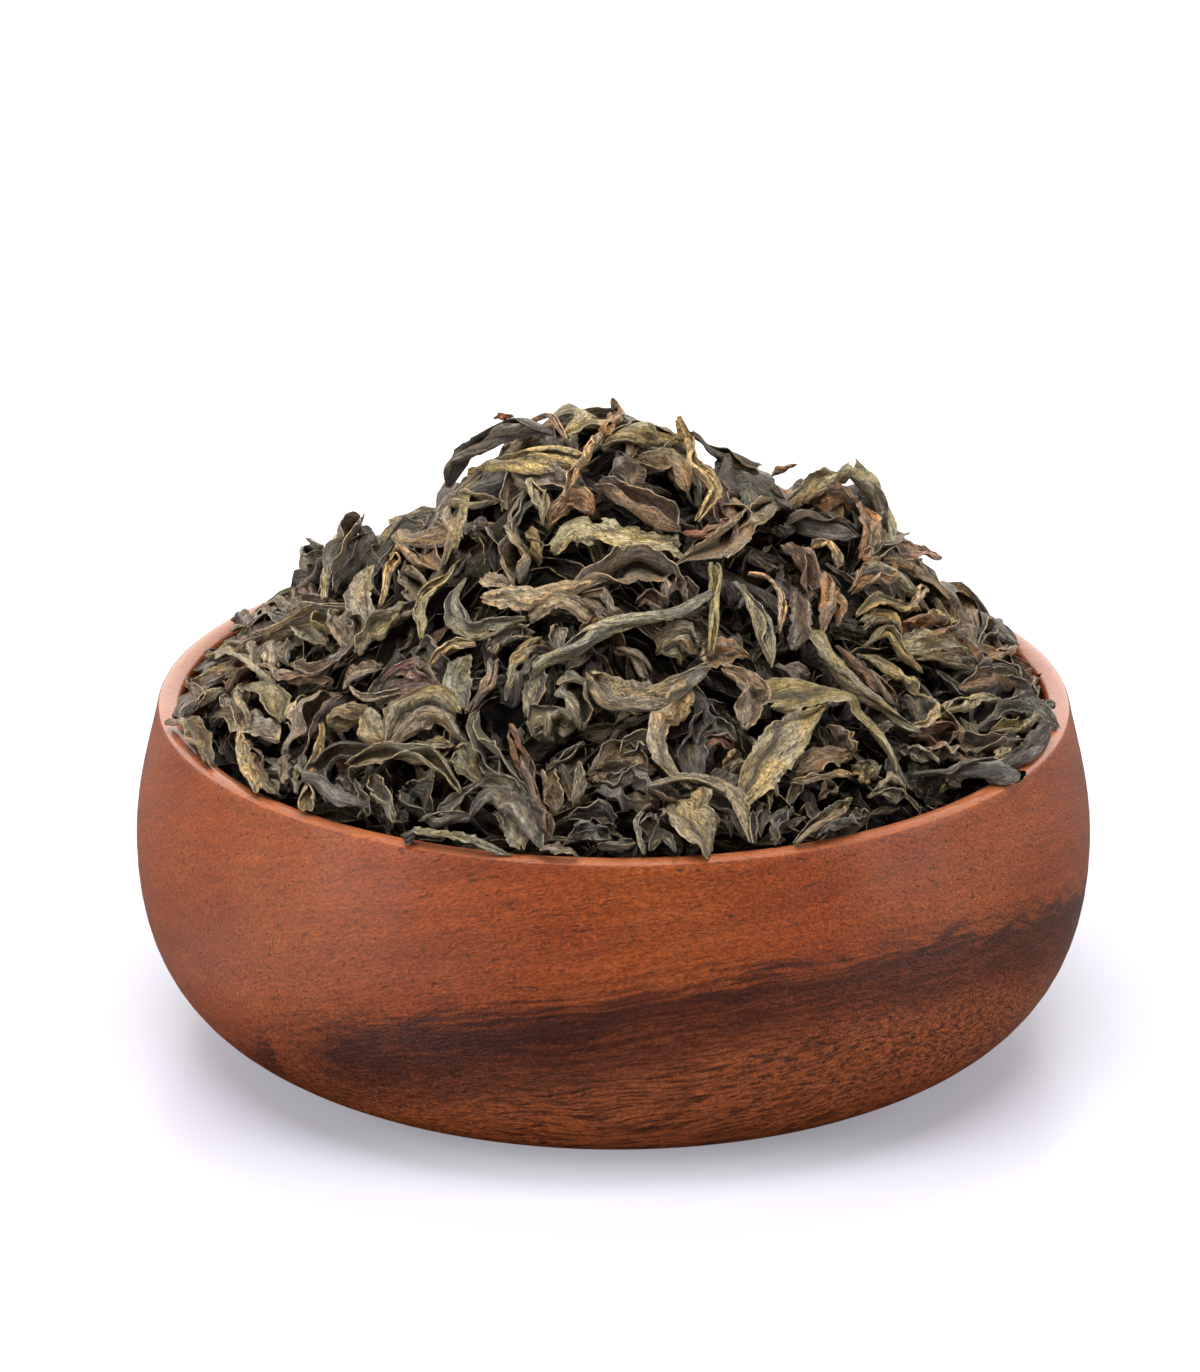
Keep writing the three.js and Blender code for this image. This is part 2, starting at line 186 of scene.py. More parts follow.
# The leaves that the photograph shows: form, tone, width, lift above the others, and places
# across and up on the upright plane through the bowl's middle
CROWN_LEAVES = [
    ("roll", "dark", 3.0, 0.8, (-21, 70.4), (-18.9, 73.6), (-16, 76), (-12.8, 78), (-7.7, 77.8)),
    ("flat", "rust", 1.6, 1.6, (-15, 79.2), (-12.4, 79.5)),
    ("flat", "khaki", 3.5, 1.2, (-6.8, 76.8), (-4.5, 78.3), (-1.3, 79.7)),
    ("stem", "gold", 1.3, 2.2, (-1.7, 77.8), (-4.6, 72.9), (-6.5, 69.4)),
    ("stem", "brown", 0.7, 2.0, (-10.4, 79.2), (-8.2, 79.6), (-6.2, 77.2)),
    ("stem", "brown", 0.7, 1.2, (34, 60.4), (37.2, 60.2), (40.4, 58.2)),
    ("roll", "brown", 1.8, 1.4, (-1.1, 77.8), (0.2, 80.2), (0, 82)),
    ("roll", "khaki", 2.6, 0.9, (-19.4, 70.8), (-14.5, 73.2), (-8, 74.3), (-3.5, 73.8)),
    ("roll", "olive", 1.2, 0.8, (-19.2, 70.8), (-15.6, 72.8)),
    ("fold", "khaki", 2.2, 0.4, (-20.5, 68), (-17.5, 68.2), (-15, 69)),
    ("roll", "tan", 1.8, 0.6, (-22, 67), (-20.5, 65.5), (-19.5, 64)),
    ("crumple", "dark", 3.0, 0.2, (-18.6, 65), (-16.4, 65.2)),
    ("fold", "slate", 3.4, 1.4, (-11.5, 69.9), (-12.8, 66), (-12.4, 62.4), (-12.4, 58)),
    ("roll", "grey", 1.8, 1.6, (-11, 71.8), (-9.6, 69.4), (-8.9, 67.2), (-9.4, 65.6)),
    ("roll", "olive", 2.2, 0.6, (-10.8, 65.4), (-9.8, 62.9), (-9.6, 60.4)),
    ("boat", "brown", 3.0, 0.8, (-8.4, 65.4), (-6.8, 67.9), (-4.7, 69), (-2.6, 67.2)),
    ("piece", "khaki", 3.4, 0.5, (-8, 62.3), (-5, 64.7), (-2, 64)),
    ("roll", "olive", 2.6, 0.5, (-1.4, 76.4), (4.3, 77.5), (9, 77)),
    ("stem", "gold", 1.4, 2.4, (7.7, 79.3), (9, 77), (10.5, 73.4), (12.4, 70), (10.6, 66.4)),
    ("roll", "dark", 2.0, 0.6, (9.4, 77.7), (11.8, 75.6), (14.8, 74), (18, 72.7)),
    ("fold", "dark", 4.4, 0.5, (13, 71), (16.4, 71.2), (21.4, 69)),
    ("roll", "brown", 0.8, 0.5, (19.2, 72.2), (22.4, 73.5)),
    ("fold", "mauve", 3.0, 1.1, (-2.2, 71.3), (3, 68.3), (8.5, 65)),
    ("piece", "khaki", 3.6, 0.8, (-2.2, 65.2), (3.3, 63.6), (8.6, 62.7)),
    ("fold", "mauve", 3.5, 1.1, (20, 69.3), (16.7, 66.8), (13.6, 63.5), (8, 60.6)),
    ("roll", "rust", 1.2, 1.4, (8.7, 64.8), (11.3, 64.3), (15, 66.5)),
    ("roll", "grey", 1.6, 0.5, (19.6, 67.1), (17.5, 66), (16, 65.4)),
    ("boat", "brown", 3.2, 0.2, (3, 74.6), (7, 73.2), (9.6, 70)),
    ("fold", "dark", 3.2, 0.0, (0.4, 75), (1.6, 72.2), (4, 70.4)),
    ("boat", "slate", 3.2, 0.0, (-10, 72.4), (-7, 71.4), (-4.4, 70.2)),
    ("roll", "brown", 2.2, 0.4, (14.4, 69.2), (15.4, 65.6), (14.6, 62.4)),
]
RIGHT_SHOULDER_LEAVES = [
    ("fold", "olive", 3.2, 1.8, (21.4, 68.6), (25.4, 71), (29.4, 73.2)),
    ("boat", "khaki", 3.4, 1.7, (29.2, 73.2), (32.4, 69.8), (33.8, 66), (32.6, 61.4)),
    ("roll", "dark", 3.0, 0.2, (21, 66.4), (26, 65.6), (31, 64)),
    ("flat", "brown", 3.6, 0.6, (30.4, 69), (31.6, 65.6), (30.8, 61.4)),
    ("fold", "brown", 3.0, 0.4, (24, 69), (28, 69.4), (30.4, 68)),
    ("stem", "gold", 1.1, 1.6, (24.4, 63), (26.4, 63.3), (28.3, 60.4)),
    ("blade", "brown", 2.6, 1.8, (31.4, 61.6), (36.3, 62.8), (40.6, 61.2)),
    ("roll", "brown", 0.9, 0.8, (33.5, 61.2), (36, 60.2), (38, 59)),
    ("roll", "tan", 1.2, 0.8, (38.7, 58.2), (37.6, 56), (37, 54.4)),
    ("arch", "olive", 2.2, 0.4, (31, 60), (34.5, 58.8), (39, 55.4)),
    ("boat", "olive", 1.8, 1.0, (30.5, 54), (33, 55.3), (38.5, 55)),
    ("boat", "olive", 2.0, 0.6, (31.3, 52.8), (33.5, 53.6), (36.4, 51.4)),
    ("roll", "olive", 1.3, 1.2, (31.5, 50), (34, 51.2), (35.8, 49), (39, 46.5)),
    ("fold", "brown", 2.6, 0.2, (36.5, 52), (40, 52.2), (44.6, 51.4)),
    ("flat", "gold", 2.0, 0.3, (39.5, 53.6), (42.7, 53.2)),
    ("fold", "dark", 2.2, 0.5, (44.8, 48.4), (46, 50.6), (47.2, 52.2)),
    ("flat", "khaki", 3.0, 0.4, (36.2, 50), (40, 50.4), (44.4, 49)),
    ("roll", "brown", 1.3, 0.6, (46, 47.5), (48.5, 48.6), (50.4, 50.2)),
    ("boat", "dark", 3.2, 0.5, (43.6, 46.5), (48, 47), (52.2, 42.6)),
    ("fold", "brown", 2.2, 0.8, (43.6, 44.4), (47, 45), (50.4, 45)),
    ("roll", "tan", 1.6, 0.8, (41.4, 41.4), (45, 42.5), (49, 43)),
    ("flat", "dark", 4.0, -0.6, (29, 59), (33, 57.4), (35.4, 55.4)),
    ("fold", "olive", 2.6, 0.0, (38, 48.6), (42, 47.6), (46, 46.8)),
    ("crumple", "brown", 3.4, -0.2, (34.6, 61), (32, 59), (29.6, 57)),
]
LEFT_SHOULDER_LEAVES = [
    ("flat", "olive", 3.2, 0.6, (-29, 63.2), (-25, 65.5), (-21, 68)),
    ("fold", "slate", 3.6, 1.1, (-31.9, 66.2), (-33.1, 62.6), (-35.6, 56.8)),
    ("fold", "dark", 3.0, 0.6, (-30.4, 64.4), (-32, 61.4), (-36.5, 55.4)),
    ("fold", "slate", 3.0, 0.5, (-36.4, 62.2), (-38, 59.6), (-39.4, 55.6)),
    ("stem", "tan", 1.0, 1.7, (-34.9, 64), (-35.8, 60.6), (-36.6, 55.8)),
    ("flat", "grey", 3.6, 0.9, (-30.4, 60.4), (-31.5, 56.4), (-30.5, 52)),
    ("stem", "gold", 1.0, 1.6, (-28, 62), (-27, 61), (-27.8, 58.6), (-29.6, 55)),
    ("boat", "brown", 3.2, 0.0, (-27.8, 62), (-24.6, 61.6), (-21.8, 60)),
    ("roll", "dark", 2.4, 0.8, (-47.4, 53.4), (-45, 52.2), (-41, 52.2)),
    ("flat", "rust", 1.8, 0.4, (-47.3, 51.2), (-45.6, 50.6), (-43, 54.6)),
    ("flat", "khaki", 4.2, 0.5, (-50.8, 48.6), (-47, 48.4), (-43, 45)),
    ("fold", "brown", 3.0, 0.4, (-52.9, 45), (-52.2, 41.8)),
    ("roll", "tan", 1.5, 1.0, (-49, 44), (-51, 42.4), (-53, 41.2)),
    ("flat", "olive", 4.2, 0.3, (-46.4, 44.6), (-43.4, 43.2), (-41.8, 39.4)),
    ("fold", "grey", 2.6, 0.8, (-48.6, 43.2), (-47, 40.6), (-46.4, 38.2)),
    ("roll", "khaki", 1.8, 0.8, (-45.3, 50.4), (-44.6, 48), (-44.9, 46)),
    ("roll", "pale", 2.4, 0.9, (-43.2, 49.8), (-42.8, 46.8)),
    ("roll", "slate", 2.4, 0.7, (-41.6, 50), (-41.2, 47.4)),
    ("boat", "mauve", 1.8, 1.2, (-40.6, 47.6), (-37, 46.1), (-34.6, 47.4), (-33.1, 50)),
    ("roll", "brown", 1.6, 0.8, (-44.6, 47), (-41.6, 45.8), (-36, 45)),
    ("fold", "grey", 2.6, 0.9, (-34.6, 54.4), (-34, 51.5), (-33.4, 49)),
    ("fold", "mauve", 2.2, 0.4, (-32.6, 53.8), (-31.5, 51.5), (-32, 49.6)),
    ("boat", "grey", 3.0, 1.2, (-32.6, 48.6), (-30.5, 51), (-24, 55.2)),
    ("flat", "mauve", 3.2, 0.6, (-34.2, 44.9), (-31.5, 45.8), (-29.2, 47.4)),
    ("stem", "pale", 0.8, 1.3, (-33.6, 44.6), (-30.5, 42.3), (-26.4, 43.9)),
    ("roll", "khaki", 3.0, 1.2, (-36.2, 39.2), (-33.5, 40.1), (-30.8, 41.2)),
    ("arch", "khaki", 3.8, 0.8, (-31.4, 41.4), (-30.6, 38.5), (-28.8, 36.6)),
    ("fold", "mauve", 4.0, 0.6, (-34.4, 43.4), (-37.4, 40.6), (-39.4, 37.6), (-41.6, 33.8)),
    ("flat", "pale", 2.0, 0.8, (-38.9, 43.2), (-40.3, 41), (-39.7, 39.3)),
    ("flat", "slate", 3.4, -0.2, (-38.4, 55.4), (-38, 52), (-36.4, 50)),
    ("fold", "olive", 2.4, 0.0, (-36.6, 53.4), (-35.8, 51.4)),
    ("crumple", "slate", 3.4, 0.0, (-39.6, 54), (-42.6, 53.6), (-44, 50)),
]
MIDDLE_LEAVES = [
    ("shell", "tan", 2.6, 1.9, (-17, 56.2), (-11.7, 55.8), (-6.7, 56.7), (-0.4, 58.7)),
    ("fold", "mauve", 4.0, 1.4, (-5.5, 57.6), (-0.4, 59.4), (4.6, 60.2), (9.3, 57)),
    ("boat", "khaki", 1.6, 1.7, (-19.7, 61.2), (-20.6, 58.4), (-23.4, 55.4), (-24.4, 50.7)),
    ("flat", "slate", 2.2, 0.4, (-17, 58.6), (-12.5, 57.5)),
    ("fold", "slate", 1.8, 1.0, (7.5, 59.8), (6.8, 57.5), (5.8, 55.2)),
    ("fold", "slate", 1.8, 1.0, (8.1, 58.8), (9, 57), (10, 54.6)),
    ("stem", "gold", 0.8, 1.8, (17, 59.6), (19.5, 58.5), (20.7, 55), (20.9, 51.6)),
    ("stem", "olive", 1.2, 1.9, (12.7, 60.9), (12.5, 55.4), (12.3, 49.2)),
    ("roll", "brown", 1.7, 0.9, (26.2, 59.8), (26.5, 55.2), (26.2, 51.8)),
    ("roll", "brown", 1.7, 0.7, (27.6, 58), (28.1, 55), (28.1, 52.6)),
    ("boat", "slate", 2.6, 1.1, (-19, 58.8), (-19.8, 54.6), (-17.7, 51.6), (-11.2, 53.4)),
    ("piece", "slate", 2.8, 0.9, (-11, 54), (-6.9, 55.3), (-2.8, 53.6)),
    ("crumple", "slate", 3.6, 0.8, (-4.8, 56.3), (-2, 55.2), (0.4, 52.7)),
    ("boat", "slate", 2.2, 0.9, (-6.9, 52.4), (-7.1, 48.6)),
    ("crumple", "brown", 2.0, 0.4, (-4.7, 51), (-2, 52.5), (0, 51.4)),
    ("twist", "pale", 1.9, 2.8, (-10.4, 46.4), (-4.2, 49.8), (0.8, 51.8), (6.4, 53.1), (12.4, 56.9)),
    ("stem", "gold", 1.0, 1.6, (-23.4, 47), (-20.7, 49.2), (-17.5, 50)),
    ("flat", "slate", 2.8, 0.6, (-18.3, 48.7), (-19.8, 44.7), (-18.7, 41)),
    ("stem", "tan", 1.3, 1.7, (-15.1, 48.2), (-15.7, 45), (-18.3, 40.9)),
    ("roll", "olive", 2.0, 1.1, (-8.9, 50.8), (-11.8, 48.2), (-13.7, 42.8)),
    ("roll", "dark", 1.9, 1.3, (-9.6, 48.7), (-11.4, 45.2), (-13.3, 42)),
    ("flat", "slate", 2.6, 1.0, (-9.6, 47.4), (-9.9, 43.2), (-11, 40.2)),
    ("roll", "grey", 3.8, 1.4, (-6.4, 46), (-4.9, 43.4), (-4.1, 38.6)),
    ("crumple", "rust", 2.8, 0.9, (-29.4, 45.2), (-26.5, 46.4), (-22.8, 45.4)),
    ("fold", "mauve", 2.2, 0.6, (-30.2, 42), (-26, 43.6), (-22.3, 43.6)),
    ("roll", "slate", 2.0, 1.1, (0, 49.3), (2.7, 48), (4.4, 45.5)),
    ("hollow", "grey", 3.9, 2.2, (-3.4, 46.2), (-0.2, 43.1), (3.3, 42.6), (7.3, 44), (12.2, 47.3)),
    ("stem", "pale", 1.1, 1.4, (0, 43.2), (2.5, 41.6)),
    ("flat", "gold", 4.4, -3.4, (-4.6, 38), (0, 37.6), (7, 38.6)),
    ("fold", "mauve", 2.1, 0.8, (2.8, 55.3), (4.3, 55.9), (6.2, 54.1)),
    ("crumple", "olive", 3.6, 0.6, (5.4, 49), (8, 49.9), (11, 49)),
    ("flat", "brown", 3.2, 0.2, (10.8, 48.4), (14, 48.9), (17.2, 48.4)),
    ("roll", "grey", 2.3, 0.9, (15.5, 58.3), (18, 53.1), (20, 47.1)),
    ("boat", "tan", 3.4, 0.7, (13.8, 47.2), (17, 44.2), (16.6, 38.8)),
    ("twist", "olive", 1.7, 1.8, (25.4, 52.2), (27.2, 47.5), (30.5, 44.1), (36.5, 39.6), (39, 38.4)),
    ("roll", "brown", 1.8, 0.9, (28, 50.2), (30, 47.5), (32.5, 45), (36, 42)),
    ("boat", "khaki", 3.0, 0.7, (30.6, 49), (34.6, 46.6), (38.6, 43.8)),
    ("shell", "olive", 5.2, 1.7, (18.6, 43), (23.3, 44), (28.9, 42), (33.4, 37.4), (37.3, 31)),
    ("shell", "khaki", 3.2, 2.4, (9.5, 44.4), (6.8, 40.6), (5.8, 36.1), (7.3, 33), (9.9, 30.8)),
    ("fold", "dark", 2.1, 0.6, (8.9, 43.9), (10.8, 41.2), (10.6, 36)),
    ("fold", "dark", 3.2, -0.4, (-24.4, 50), (-22.6, 46.6), (-21, 43)),
    ("flat", "dark", 3.0, -0.4, (22.4, 58), (23.4, 53.6), (22.8, 49.4)),
    ("fold", "brown", 2.8, 0.0, (21, 63.4), (23.6, 60.4), (24.4, 56.4)),
    ("boat", "slate", 2.8, 0.2, (-16.2, 49.6), (-13.2, 50.6), (-10, 51.4)),
    ("fold", "slate", 2.6, 0.2, (-26.4, 59.6), (-24.4, 57), (-25.6, 54)),
]
LOWER_LEFT_LEAVES = [
    ("boat", "khaki", 3.0, 0.9, (-56, 39.8), (-53.5, 38.5), (-50.8, 34.4)),
    ("stem", "gold", 1.2, 1.5, (-47.3, 38.9), (-46.7, 36), (-44.8, 30.8)),
    ("roll", "brown", 1.2, 1.1, (-46.3, 37.2), (-45, 34), (-43.4, 31.2)),
    ("roll", "olive", 1.3, 1.2, (-39.2, 35.2), (-39.8, 32.5), (-39.9, 30.2)),
    ("stem", "gold", 1.4, 1.7, (-37, 39.6), (-36.8, 37), (-38, 33), (-38.8, 28.1)),
    ("hollow", "slate", 2.7, 1.9, (-30.4, 35.8), (-35.2, 34.8), (-37, 31.6), (-34.8, 28.8), (-30.7, 28.8)),
    ("fold", "tan", 2.8, 2.6, (-33.8, 33.4), (-28.8, 34.8), (-23.1, 33.9), (-19.4, 30)),
    ("fold", "slate", 1.0, 1.0, (-33, 32.2), (-31.8, 30), (-31, 27.3)),
    ("fold", "slate", 1.7, 1.0, (-30.6, 32.7), (-29.5, 30), (-27.7, 26.3)),
    ("flat", "dark", 4.2, -0.8, (-35.6, 31.4), (-33, 28.8)),
    ("flat", "grey", 4.2, 0.2, (-50.2, 40), (-46.4, 39.6), (-42.6, 37)),
    ("roll", "grey", 2.0, 0.7, (-42.2, 34), (-41, 31)),
    ("roll", "olive", 1.6, 0.7, (-44.5, 31.4), (-42.1, 30)),
    ("arch", "olive", 3.2, 1.2, (-28.9, 36.7), (-26.5, 41), (-23, 42.8), (-19.6, 40)),
    ("arch", "tan", 2.2, 0.8, (-29, 35.6), (-26, 38.2), (-22.6, 40), (-18.9, 37)),
    ("flat", "khaki", 3.4, -0.8, (-28.2, 35.8), (-24.6, 35.7), (-20.2, 36.5)),
    ("fold", "slate", 3.2, 1.6, (-17.2, 41.2), (-17.6, 38), (-14.4, 34), (-11.2, 30.4)),
    ("fold", "slate", 1.8, 1.2, (-17.2, 34.2), (-14.5, 32.5), (-12, 30.2)),
    ("flat", "olive", 3.6, 0.0, (-20, 36), (-17.8, 33), (-16, 31)),
    ("fold", "dark", 3.0, -0.6, (-26.4, 31), (-24.6, 28.4), (-22.8, 26.4)),
]
LOWER_FRONT_LEAVES = [
    ("roll", "brown", 1.4, 1.0, (-13, 39.4), (-12.3, 36), (-11, 31.4)),
    ("fold", "brown", 2.3, 0.8, (-11.6, 36.4), (-10.4, 31), (-8.4, 23.8)),
    ("boat", "slate", 1.7, 1.3, (-22.6, 27), (-20.3, 28.2), (-16.4, 31.8)),
    ("boat", "slate", 1.7, 1.6, (-16.6, 31.6), (-13, 30.4), (-10.5, 27), (-8.9, 22.7)),
    ("arch", "slate", 2.4, 1.9, (-18.3, 26.8), (-16, 29.4), (-13, 28.7), (-9.3, 23.1)),
    ("flat", "grey", 3.2, 0.7, (-15.2, 27.6), (-13, 25.5), (-11.4, 22.8)),
    ("flat", "khaki", 1.5, 1.2, (-25.7, 25.3), (-20.6, 23.6), (-12.6, 21.6)),
    ("roll", "dark", 1.8, 1.3, (-26.2, 24.4), (-25.2, 23.2)),
    ("roll", "slate", 1.7, 0.9, (-24.7, 26.5), (-21.5, 26), (-17.8, 26.8)),
    ("fold", "khaki", 2.1, 1.3, (-8.3, 33.2), (-7.8, 30), (-7.2, 27.4)),
    ("roll", "grey", 1.1, 1.5, (-4.4, 34.6), (-4.3, 31.5), (-5.2, 28)),
    ("fold", "grey", 1.4, 1.1, (-8.7, 32.9), (-6, 34.5), (-3.7, 37)),
    ("crumple", "slate", 4.2, 0.9, (-10.2, 37.8), (-7.5, 39.4), (-4.4, 39.4)),
    ("crumple", "grey", 4.8, 1.0, (-3.4, 32.3), (1, 33.2), (5.2, 33)),
    ("crumple", "slate", 4.0, 0.7, (-2.2, 30.6), (2, 30), (6, 29.4)),
    ("fold", "slate", 2.2, 1.2, (0.4, 34.6), (3, 36.3), (6, 35.6)),
    ("flat", "brown", 1.3, 1.2, (-9.1, 22.8), (-7, 22.2), (-4.3, 21.8)),
    ("boat", "dark", 3.0, 0.4, (11.6, 40), (10.4, 37.2), (10.2, 34.4), (11, 31.4)),
    ("boat", "pale", 1.9, 3.2, (4.2, 31), (7.7, 32), (11.2, 31.7), (14.8, 29.9), (17.6, 23.6)),
    ("boat", "grey", 2.2, 1.5, (7.8, 30.2), (11.6, 29.8), (15, 28), (16.6, 24.6)),
    ("piece", "khaki", 5.0, 2.4, (8.6, 29.6), (10.6, 25.2), (12.9, 20.8)),
    ("boat", "mauve", 2.1, 1.6, (4.4, 31), (6.5, 29.7), (8.7, 29.1)),
    ("flat", "slate", 3.2, 0.8, (12.3, 31.3), (15, 32.3), (17.4, 33.6)),
    ("crumple", "khaki", 1.9, 1.2, (16.2, 35.2), (14.3, 33.3)),
    ("roll", "brown", 1.7, 1.0, (10.9, 35.6), (13, 36.9), (15.4, 36.4)),
    ("boat", "dark", 1.8, 1.2, (11, 37.2), (12.8, 38.8), (15.6, 37.4)),
    ("stem", "tan", 0.6, 1.3, (3.7, 27.7), (2.9, 25.2), (3.9, 22.2)),
    ("fold", "mauve", 2.0, 0.8, (4.7, 27.4), (4.8, 24.3)),
    ("boat", "slate", 1.4, 1.4, (4.4, 22.7), (6.2, 24.1), (8, 22.4)),
    ("crumple", "slate", 2.4, 0.2, (-5, 25), (-2.4, 24.4), (0, 23.4)),
    ("fold", "dark", 2.2, 0.2, (-6.6, 26.4), (-3, 26.8), (0.4, 26)),
    ("boat", "slate", 2.0, 0.4, (-2, 23.2), (1, 22.6), (3, 23.6)),
]
LOWER_RIGHT_LEAVES = [
    ("blade", "khaki", 4.8, 2.3, (27.2, 42.2), (23.3, 38.4), (19.3, 34.1), (16.3, 28.4)),
    ("flat", "brown", 5.0, 0.5, (30.2, 35.4), (26.5, 34.6), (22.8, 33.2)),
    ("stem", "gold", 0.8, 1.1, (22.4, 31.7), (26, 32), (30.2, 32.9)),
    ("stem", "pale", 0.6, 1.6, (18, 32.1), (19.8, 31.4), (20.8, 29.9)),
    ("stem", "tan", 0.7, 0.8, (19.5, 31.2), (19.8, 28.2)),
    ("stem", "tan", 1.2, 1.7, (22.6, 23.5), (26, 26), (30.5, 29.6)),
    ("flat", "slate", 3.2, 0.9, (25.4, 24.8), (28.5, 26), (31.2, 26.4)),
    ("fold", "slate", 1.2, 0.5, (17, 27.7), (18, 23.7)),
    ("fold", "dark", 1.2, 0.4, (19, 28.7), (18.5, 24.4)),
    ("fold", "slate", 1.4, 0.6, (22.6, 28.2), (21, 25.5), (20.4, 23.9)),
    ("fold", "brown", 1.2, 0.8, (26.1, 29.3), (28.2, 31.1)),
    ("boat", "dark", 3.4, 1.0, (38, 43.6), (38.3, 41.4), (38.6, 39.4)),
    ("boat", "tan", 1.0, 1.5, (38.4, 43.8), (40.2, 42), (39.3, 39.4), (37.8, 39.2)),
    ("boat", "slate", 2.8, 0.8, (46.3, 39.3), (49, 41.2), (52, 41.4), (56, 38.8)),
    ("roll", "dark", 0.9, 0.6, (53.8, 41.3), (55.1, 42.4)),
    ("roll", "dark", 3.0, 1.1, (38.2, 33.1), (42, 32.8), (47, 33.2), (51.6, 31.2)),
    ("roll", "brown", 2.6, 0.6, (39.4, 35.9), (43, 35.6), (45.6, 34.2)),
    ("roll", "khaki", 1.0, 0.9, (47.9, 34.9), (49.8, 36.4)),
    ("flat", "brown", 4.0, -0.4, (41.8, 41), (43.5, 38.5), (44.6, 36)),
    ("crumple", "olive", 3.0, 0.8, (32.3, 29.7), (35, 30.6), (37.2, 30.2)),
    ("flat", "olive", 4.0, 0.3, (30.3, 34.2), (32.7, 31.6)),
    ("fold", "brown", 2.6, 0.0, (27, 39.4), (29, 37.4), (30, 35)),
    ("fold", "brown", 2.4, 0.2, (37.4, 38.2), (40.4, 37.6), (43, 38.6)),
    ("fold", "slate", 3.0, 0.2, (43.6, 36.8), (47.4, 36), (51.4, 37.8)),
    ("boat", "dark", 2.6, 0.3, (48.8, 33.6), (52, 36.2), (54.4, 39.8)),
    ("crumple", "slate", 2.6, 0.2, (36, 36.4), (38.6, 35.2), (41.2, 34.6)),
    ("fold", "olive", 2.2, 0.3, (48, 38.8), (50.8, 39), (53, 41)),
]
SHOWN_LEAVES = (
    CROWN_LEAVES
    + RIGHT_SHOULDER_LEAVES
    + LEFT_SHOULDER_LEAVES
    + MIDDLE_LEAVES
    + LOWER_LEFT_LEAVES
    + LOWER_FRONT_LEAVES
    + LOWER_RIGHT_LEAVES
)


# Heap


def unit(vectors):
    return vectors / np.maximum(np.linalg.norm(vectors, axis=-1, keepdims=True), 1e-9)


def heap_top(x, y):
    """Height of the leaves' tops over a place. Over the rim they lie on the rim."""
    radius = np.hypot(x, y)
    height = HEAP_FOOT + HEAP_RISE * (1 - (radius / HEAP_RADIUS) ** HEAP_POWER)
    for lump in LUMPS:
        away = ((x - lump.x) / lump.spread_x) ** 2 + ((y - lump.y) / lump.spread_y) ** 2
        height = height + lump.rise * np.exp(-away)
    over_rim = np.where(radius > RIM_INNER_RADIUS - 2, BOWL_HEIGHT + 1, 0)
    return np.maximum(height, over_rim)


def heap_normal(x, y):
    step = 1.0
    slope_x = (heap_top(x + step, y) - heap_top(x - step, y)) / (2 * step)
    slope_y = (heap_top(x, y + step) - heap_top(x, y - step)) / (2 * step)
    return unit(np.stack([-slope_x, -slope_y, np.ones_like(slope_x)], axis=-1))


def sighted(place, lift):
    """Where the line of sight through a place on the upright plane meets the heap or passes closest."""
    across, up = place
    share = (SIGHT_Y - EYE[1]) / -EYE[1]
    points = EYE + (np.array([across, 0, up]) - EYE) * share[:, None]
    clearance = points[:, 2] - heap_top(points[:, 0], points[:, 1]) - lift
    clearance[np.hypot(points[:, 0], points[:, 1]) > SIGHT_REACH] = np.inf
    met = np.flatnonzero(clearance <= 0)
    return points[met[0]] if len(met) else points[np.argmin(clearance)]


def facing(point):
    """How squarely the heap faces the camera at a point, from -1 to 1."""
    return float(heap_normal(point[0], point[1]) @ unit(EYE - point))


# Curves and waves


def waves(places, count, random):
    """A smooth random curve, about -1 to 1, with up to count waves over places 0 to 1."""
    total = np.zeros_like(places)
    for wave in range(1, count + 1):
        strength = 0.75 ** (wave - 1)
        turns = wave * random.uniform(0.7, 1.2)
        total = total + strength * np.sin(2 * math.pi * (turns * places + random.random()))
    return total / (1.2 * count**0.5)


def kinks(places, count, random):
    """A random line from -1 to 1 that turns sharply count times over places 0 to 1."""
    corners = np.concatenate([[0], np.sort(random.random(count)), [1]])
    return np.interp(places, corners, random.uniform(-1, 1, count + 2))


def crease(angle):
    """A wave from -1 to 1 with quick turns, as a crumpled sheet has."""
    return np.tanh(2.2 * np.sin(angle)) / math.tanh(2.2)


def facets(along, across, count, random):
    """Flat facets that meet at sharp folds, about -1 to 1. Most folds run along the leaf."""
    total = np.zeros_like(along)
    for _ in range(count):
        turns_along = random.uniform(0.6, 3.2) * random.choice([-1, 1])
        turns_across = random.uniform(0.5, 1.5)
        phase = turns_along * along + turns_across * across + random.random()
        total = total + random.uniform(0.5, 1) * np.arcsin(np.sin(2 * math.pi * phase))
    return total / (0.8 * math.pi * count**0.5)


